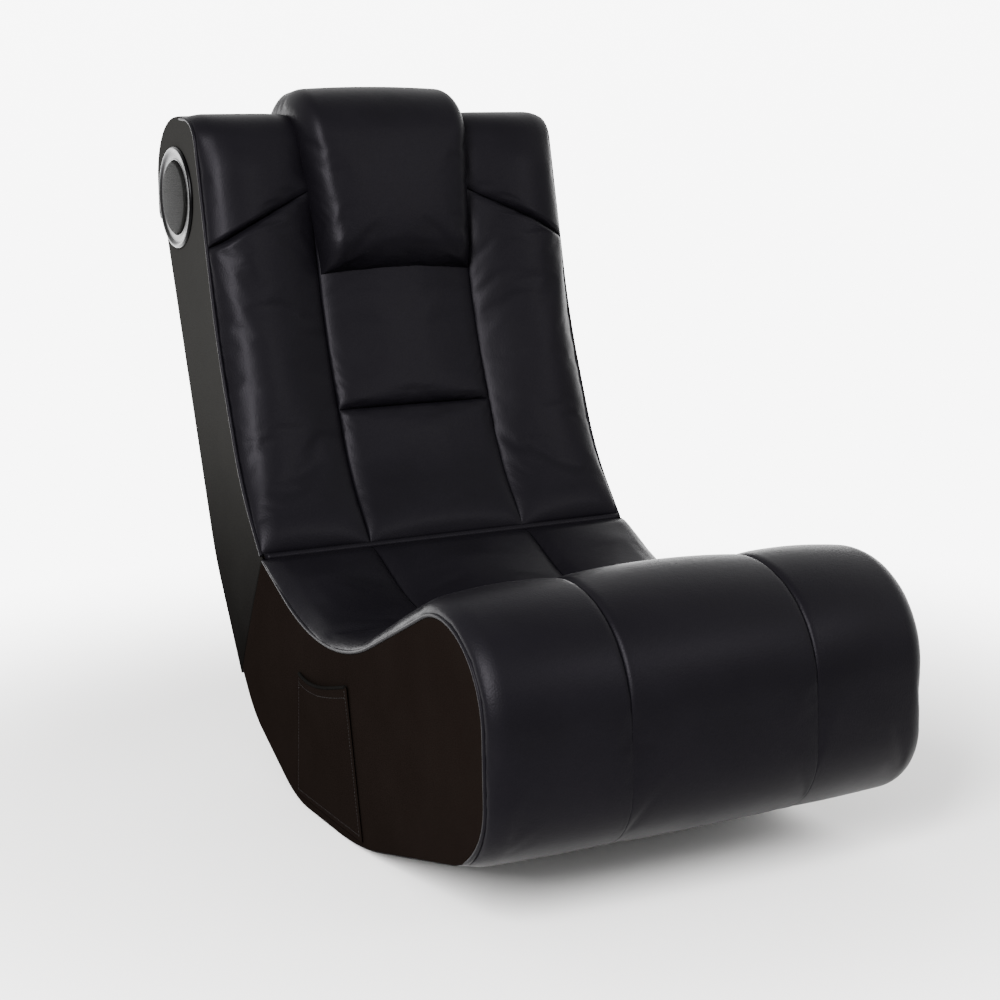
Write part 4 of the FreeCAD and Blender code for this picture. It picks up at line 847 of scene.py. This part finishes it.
def perforated(place):
    """Paint of fine mesh: round holes on a square grid of 2.2 mm, painted darker as the shade behind them.
    """
    flat = place.node("ShaderNodeCombineXYZ", {}, {0: place.axis(1), 1: place.axis(2)})
    holes = flat.node("ShaderNodeTexVoronoi", {"voronoi_dimensions": "2D"},
                      {"Vector": flat, "Scale": 450.0, "Randomness": 0.0})
    metal = ((holes - 0.26) * 12.0).math("MAXIMUM", 0.0).math("MINIMUM", 1.0)
    return {
        "Base Color": metal.between((0.001, 0.001, 0.001, 1), (0.005, 0.005, 0.0047, 1)),
        "Normal": metal.relief(0.0003),
    }


ring_metal = surface("speaker ring", {"Metallic": 1.0, "Base Color": (0.0048, 0.0048, 0.005, 1)},
                     lambda place: {"Roughness": 0.26 + place.noise(300.0) * 0.08})
mesh_metal = surface("speaker mesh", {"Roughness": 0.6, "Specular IOR Level": 0.02}, perforated)

# %% Turned shapes and holes
HOLE_SPAN = np.array([240.0, 270.0])    # x of both ends of a cut through a side cover


def softened(profile, passes=3):
    """A closed profile with its corners cut: each pass takes the quarter points of every side."""
    for _ in range(passes):
        ahead = np.roll(profile, -1)
        profile = np.stack([0.75 * profile + 0.25 * ahead, 0.25 * profile + 0.75 * ahead], axis=-1).ravel()
    return profile


def turned(profile, centre, side, closed, flutes=0.0):
    """A profile r + x i turned about an axis along X: centre + r (cos t + i sin t), fluted past r = 10."""
    turn = np.linspace(0, 2 * np.pi, 96, endpoint=False)[None, :]
    radius = profile.real[:, None] * (1 - flutes * abs(np.sin(10 * turn)) * (profile.real[:, None] > 10))
    points = solid(side * profile.imag[:, None] + 0 * turn, centre + radius * np.exp(1j * turn))
    index = np.arange(points[..., 0].size).reshape(points.shape[:2])
    index = np.hstack([index, index[:, :1]])
    if closed:
        index = np.vstack([index, index[:1]])
    return points.reshape(-1, 3), grid_quads(index).tolist()


def cut_hole(panel, places, side):
    """Cuts a prism with a side-view outline out of a side cover."""
    x = side * HOLE_SPAN[:, None]
    prism = closed_tube(solid(x + 0 * places.real[None, :], places[None, :] + 0 * x))
    cutter = linked("cutter", outward_mesh("cutter", prism))
    hole = panel.modifiers.new("hole", "BOOLEAN")
    hole.object = cutter
    hole.operation = "DIFFERENCE"
    hole.solver = "EXACT"
    evaluated = panel.evaluated_get(bpy.context.evaluated_depsgraph_get())
    panel.data = bpy.data.meshes.new_from_object(evaluated)
    panel.modifiers.clear()
    bpy.data.objects.remove(cutter)
    print(panel.name, "with a hole:", len(panel.data.polygons), "faces")


# %% Rings and discs
SPEAKER = 411 + 712j
HOLE_RADIUS = 54.5
DISC_RADIUS = 46.8
DISC_ROUND = 4
ring_profile = softened(np.array([65.5 + 252.2j, 65.5 + 256.0j, 63.2 + 258.6j, 60.2 + 257.8j, 56.5 + 255.4j,
                                  51.5 + 254.9j, 48.6 + 256.0j, 47.7 + 255.0j, 47.7 + 252.2j]))
bend = np.linspace(0, np.pi / 2, 8)
disc_rim = DISC_RADIUS - DISC_ROUND + DISC_ROUND * np.cos(bend) + 1j * (255.6 + DISC_ROUND * np.sin(bend))
disc_profile = np.concatenate([[0 + 252.0j, DISC_RADIUS + 252.0j], disc_rim,
                               [36 + 260.1j, 20 + 260.7j, 0 + 261.0j]])
circle = np.exp(1j * np.linspace(0, 2 * np.pi, 64, endpoint=False))
for side_name, side in SIDES:
    cut_hole(side_covers[side_name], SPEAKER + HOLE_RADIUS * circle, side)
    piece(f"speaker_{side_name}_ring", turned(ring_profile, SPEAKER, side, True), ring_metal, "back",
          [f"speaker_bezel_{side_name}"], 50)
    piece(f"speaker_{side_name}_disc", turned(disc_profile, SPEAKER, side, False), mesh_metal, "back",
          [f"speaker_grille_{side_name}"], 50)

# %% [markdown]
# ## The controls
# On the sitter's left a recessed plastic panel carries a volume knob, a push button and an input socket. The
# knob is fluted for grip, and the button has a dished face. A cylinder with cut grooves could be the knob,
# but a turned profile whose radius changes with the angle gives the flutes at once.

# %% Panel opening
PANEL = 322 + 402j
PANEL_ANGLE = 70.9
PANEL_HALF = 46.3 + 22.3j
plastic = surface("panel plastic", {"Specular IOR Level": 0.15, "Base Color": (0.008, 0.008, 0.0085, 1)},
                  lambda place: {"Roughness": 0.38 + place.noise(120.0) * 0.1,
                                 "Normal": place.noise(1400.0).relief(0.0001)})
level_corners = np.array([PANEL_HALF, -PANEL_HALF.conjugate(), -PANEL_HALF, PANEL_HALF.conjugate()])
panel_corners = PANEL + np.exp(1j * np.radians(PANEL_ANGLE)) * level_corners
cut_hole(side_covers["left"], panel_corners, 1)

# %% Knob and button
KNOB = 329.2 + 422.8j
BUTTON = 315.46 + 383.1j
knob_profile = np.array([0 + 242.2j, 2.9 + 242.2j, 2.9 + 244.4j, 10.6 + 244.4j, 11 + 245.0j, 10.8 + 250.6j,
                         10.2 + 251.7j, 9.0 + 252.2j, 8.2 + 252.0j, 0 + 251.8j])
button_profile = np.array([0 + 242.2j, 2.9 + 242.2j, 2.9 + 245.9j, 5.9 + 245.9j, 6 + 246.3j, 6 + 248.6j,
                           5.6 + 249.4j, 4.8 + 249.7j, 3 + 249.4j, 0 + 249.2j])
piece("knob_cap", turned(knob_profile, KNOB, 1, False, 0.05), plastic, "knob",
      ["volume_knob"], 40)
piece("button_cap", turned(button_profile, BUTTON, 1, False), plastic, "button",
      ["power_button"], 40)

# %% [markdown]
# ## The crease and the parting
# A strip of leather bridges the crease, and a cloth panel closes the open end of each block behind it. The
# strip is an arc round the hinge that goes on under the pads of the back and the seat, and rides neither
# body.

# %% Crease strip
VEE_BACK = 80.95     # headings from the axis at which the strip leaves the back and the seat
VEE_SEAT = 174.95
STRIP_OUTER = 5.0    # radii of the strip's two faces
STRIP_INNER = 4.6
STRIP_HALF = 250.5


def gusset_arc(radius):
    """A strip round the fold line that goes on under the pads of the back and the seat."""
    angle = np.radians(np.linspace(VEE_BACK - 40, VEE_SEAT + 25, 40))[:, None]
    x = np.linspace(-STRIP_HALF, STRIP_HALF, 60)[None, :]
    return solid(x + 0 * angle, AXIS + radius * np.exp(1j * angle) + 0 * x)


gusset = piece("crease_strip", closed_sheet(gusset_arc(STRIP_OUTER), gusset_arc(STRIP_INNER)), pad_leather,
               None, ["crease_gusset"])
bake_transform(gusset)

# %% Closing covers
OPENING_HALF = 250.0


def closing_sheet(top, foot, offset):
    """A cloth panel beside the parting plane with faint ripples, 1 mm thick."""
    t = (top + (foot - top) * eased(40, 0.5))[:, None]
    x = (-OPENING_HALF + 2 * OPENING_HALF * eased(70, 0.5))[None, :]
    ripple = 0.2 * np.sin(x / 31 + np.sin(t / 25)) * np.sin(t / 17)
    across = -1j * SPLIT
    face = solid(x + 0 * t, AXIS + t * SPLIT + (offset + ripple) * across)
    rear = solid(x + 0 * t, AXIS + t * SPLIT + (offset + ripple + np.sign(offset)) * across)
    return closed_sheet(face, rear)


for body, top, foot, offset in (("seat", 58.6, 183.6, 0.9), ("back", 57.2, 191.6, -0.9)):
    sheet = piece(f"{body}_closing_sheet", closing_sheet(top, foot, offset), base_cloth, body,
                  [f"{body}_closing_cover"])

# %% [markdown]
# ## What is inside
# The frame is plywood boards and rails with foam blocks and webbing, joined with screws and steel hinges.
# The speakers' paper cones, baskets and magnets stand behind the mesh. They could be drawn again, but their
# built shape is right, so they keep it and get finishes.

# %% Wood, foam and speckled finishes


def grey(level):
    """A neutral colour."""
    return (level, level, level, 1)


def plywood(place):
    """Paint of wood: noise stretched along x."""
    stretched = place.node("ShaderNodeMapping", {}, {"Vector": place, "Scale": (4.0, 60.0, 60.0)})
    grain = stretched.noise(1.0, 6.0)
    return {
        "Base Color": grain.between((0.30, 0.20, 0.11, 1), (0.52, 0.38, 0.24, 1)),
        "Normal": grain.relief(0.0004),
    }


def spongy(place):
    """Paint of foam: small open cells, painted darker in their middles as shade in the pores."""
    pores = place.cells(700.0)
    return {
        "Base Color": pores.between((0.45, 0.42, 0.32, 1), (0.66, 0.62, 0.5, 1)),
        "Normal": pores.relief(0.0006),
    }


def speckled(dark, light, scale, depth):
    """Paint of a plain finish with fine speckle."""
    def paint(place):
        grain = place.noise(scale)
        return {"Base Color": grain.between(dark, light), "Normal": grain.relief(depth)}
    return paint


wood = surface("plywood", {"Roughness": 0.65}, plywood)
foam = surface("foam", {"Roughness": 0.95}, spongy)
webbing = surface("webbing", {"Roughness": 0.85},
                  weave(0.003, (0.02, 0.02, 0.022, 1), (0.07, 0.07, 0.075, 1)))
steel = surface("zinc steel", {"Metallic": 1.0, "Roughness": 0.35},
                speckled((0.42, 0.42, 0.43, 1), (0.6, 0.6, 0.61, 1), 90.0, 0.00005))
nickel = surface("nickel", {"Metallic": 1.0, "Roughness": 0.25},
                 speckled((0.5, 0.5, 0.48, 1), (0.62, 0.61, 0.58, 1), 200.0, 0.00003))
painted = surface("painted basket", {"Roughness": 0.5}, speckled(grey(0.01), grey(0.02), 400.0, 0.0001))
magnet = surface("ferrite", {"Roughness": 0.6}, speckled(grey(0.03), (0.06, 0.058, 0.055, 1), 500.0, 0.0001))
paper = surface("paper cone", {"Roughness": 0.85}, speckled(grey(0.012), grey(0.03), 800.0, 0.0002))
rubber = surface("lead rubber", {"Roughness": 0.6}, speckled(grey(0.01), grey(0.018), 600.0, 0.0001))

# %% Finish the inner pieces
INNER = (
    ("_board", wood, "board_wood"),
    ("_rail", wood, "board_wood"),
    ("_foam", foam, "foam"),
    ("_webbing", webbing, "webbing"),
    ("_leaves", steel, "hinge_steel"),
    ("_screws", steel, "hinge_steel"),
    ("_pins", steel, "hinge_steel"),
    ("_baskets", painted, "driver_frame"),
    ("_magnets", magnet, "driver_magnet"),
    ("_cone_", paper, "cone_paper"),
    ("control_panel", plastic, "panel_plastic"),
    ("amplifier_box", plastic, "panel_plastic"),
    ("input_jack", nickel, "jack_metal"),
    ("speaker_leads", rubber, "lead_rubber"),
)
for name, node in nodes.items():
    finishes = [(material, slot) for part, material, slot in INNER if part in name and not node.hide_render]
    for material, slot in finishes[:1]:
        node.data.materials.clear()
        node.data.materials.append(material)
        print(name, "in", material.name)

# %% [markdown]
# ## Studio
# A pale floor carries the chair and thins out into a bright backdrop, and two softboxes light the chair from
# the front. A white room could do the same, but its walls would show as an edge. The camera stands where the
# photo was taken from.

# %% Floor


def fading(place):
    """The floor thins out from 0.55 m to 1.5 m from the middle, so no horizon shows."""
    away = place.node("ShaderNodeVectorMath", {"operation": "LENGTH"}, {0: place}, "Value")
    return {"Alpha": away.step(0.55, 1.5, 1.0, 0.0)}


floor_mesh = bpy.data.meshes.new("floor")
floor_mesh.from_pydata([(-5, -5, 0), (5, -5, 0), (5, 5, 0), (-5, 5, 0)], [], [(0, 1, 2, 3)])
floor_mesh.materials.append(surface("floor paint", {"Roughness": 0.9, "Base Color": (0.92, 0.91, 0.9, 1)},
                                    fading))
floor = linked("floor", floor_mesh)

# %% Backdrop
world = bpy.data.worlds.new("studio")
world.use_nodes = True
background = world.node_tree.nodes["Background"]
sky = Wire(world.node_tree).node("ShaderNodeTexCoord", {}, {}, "Generated")
backdrop = sky.axis(1).step(-0.1, 0.6) * sky.axis(2).step(0.1, 0.24, 7.0, 0.1)
canopy = sky.axis(2).step(-0.1, 0.45, 0.9, 2.0) - sky.axis(2).step(0.65, 0.95) * 0.9
brightness = backdrop + canopy
world.node_tree.links.new(brightness.socket, background.inputs["Strength"])
background.inputs["Color"].default_value = (1.0, 1.0, 1.0, 1)
bpy.context.scene.world = world
print("backdrop of", len(world.node_tree.nodes), "nodes")

# %% Softboxes


def softbox(name, place, aim, width, height, power):
    """A soft rectangular light at a place, turned to aim at a point."""
    lamp = bpy.data.lights.new(name, "AREA")
    lamp.shape = "RECTANGLE"
    lamp.size = width
    lamp.size_y = height
    lamp.energy = power
    light = linked(name, lamp)
    light.location = place
    light.rotation_euler = (Vector(aim) - Vector(place)).to_track_quat("-Z", "Y").to_euler()
    print("softbox", name, "of", power, "W at", place)


softbox("key", (-2.0, -1.9, 1.9), (0, 0, 0.4), 0.9, 1.6, 300)
softbox("fill", (1.3, -2.4, 1.9), (0, 0.2, 0.55), 1.4, 1.0, 36)

# %% Camera
CAMERA_TURN = np.radians(-26.89)
CAMERA_RISE = np.radians(10.27)
CAMERA_ROLL = np.radians(-1.03)
CAMERA_AIM = np.array([-0.0005, -0.0003, 0.3512])
CAMERA_DISTANCE = 2.2927
CAMERA_LENS = 68.71
CAMERA_BACK = np.array([np.sin(CAMERA_TURN) * np.cos(CAMERA_RISE),
                        -np.cos(CAMERA_TURN) * np.cos(CAMERA_RISE), np.sin(CAMERA_RISE)])
lens = bpy.data.cameras.new("camera")
lens.lens = CAMERA_LENS
lens.sensor_width = 36
camera = linked("camera", lens)
camera.location = CAMERA_AIM + CAMERA_DISTANCE * CAMERA_BACK
camera.rotation_euler = (Vector(-CAMERA_BACK).to_track_quat("-Z", "Y")
                         @ Quaternion((0, 0, 1), CAMERA_ROLL)).to_euler()
bpy.context.scene.camera = camera
print("camera at", [round(value, 3) for value in camera.location])
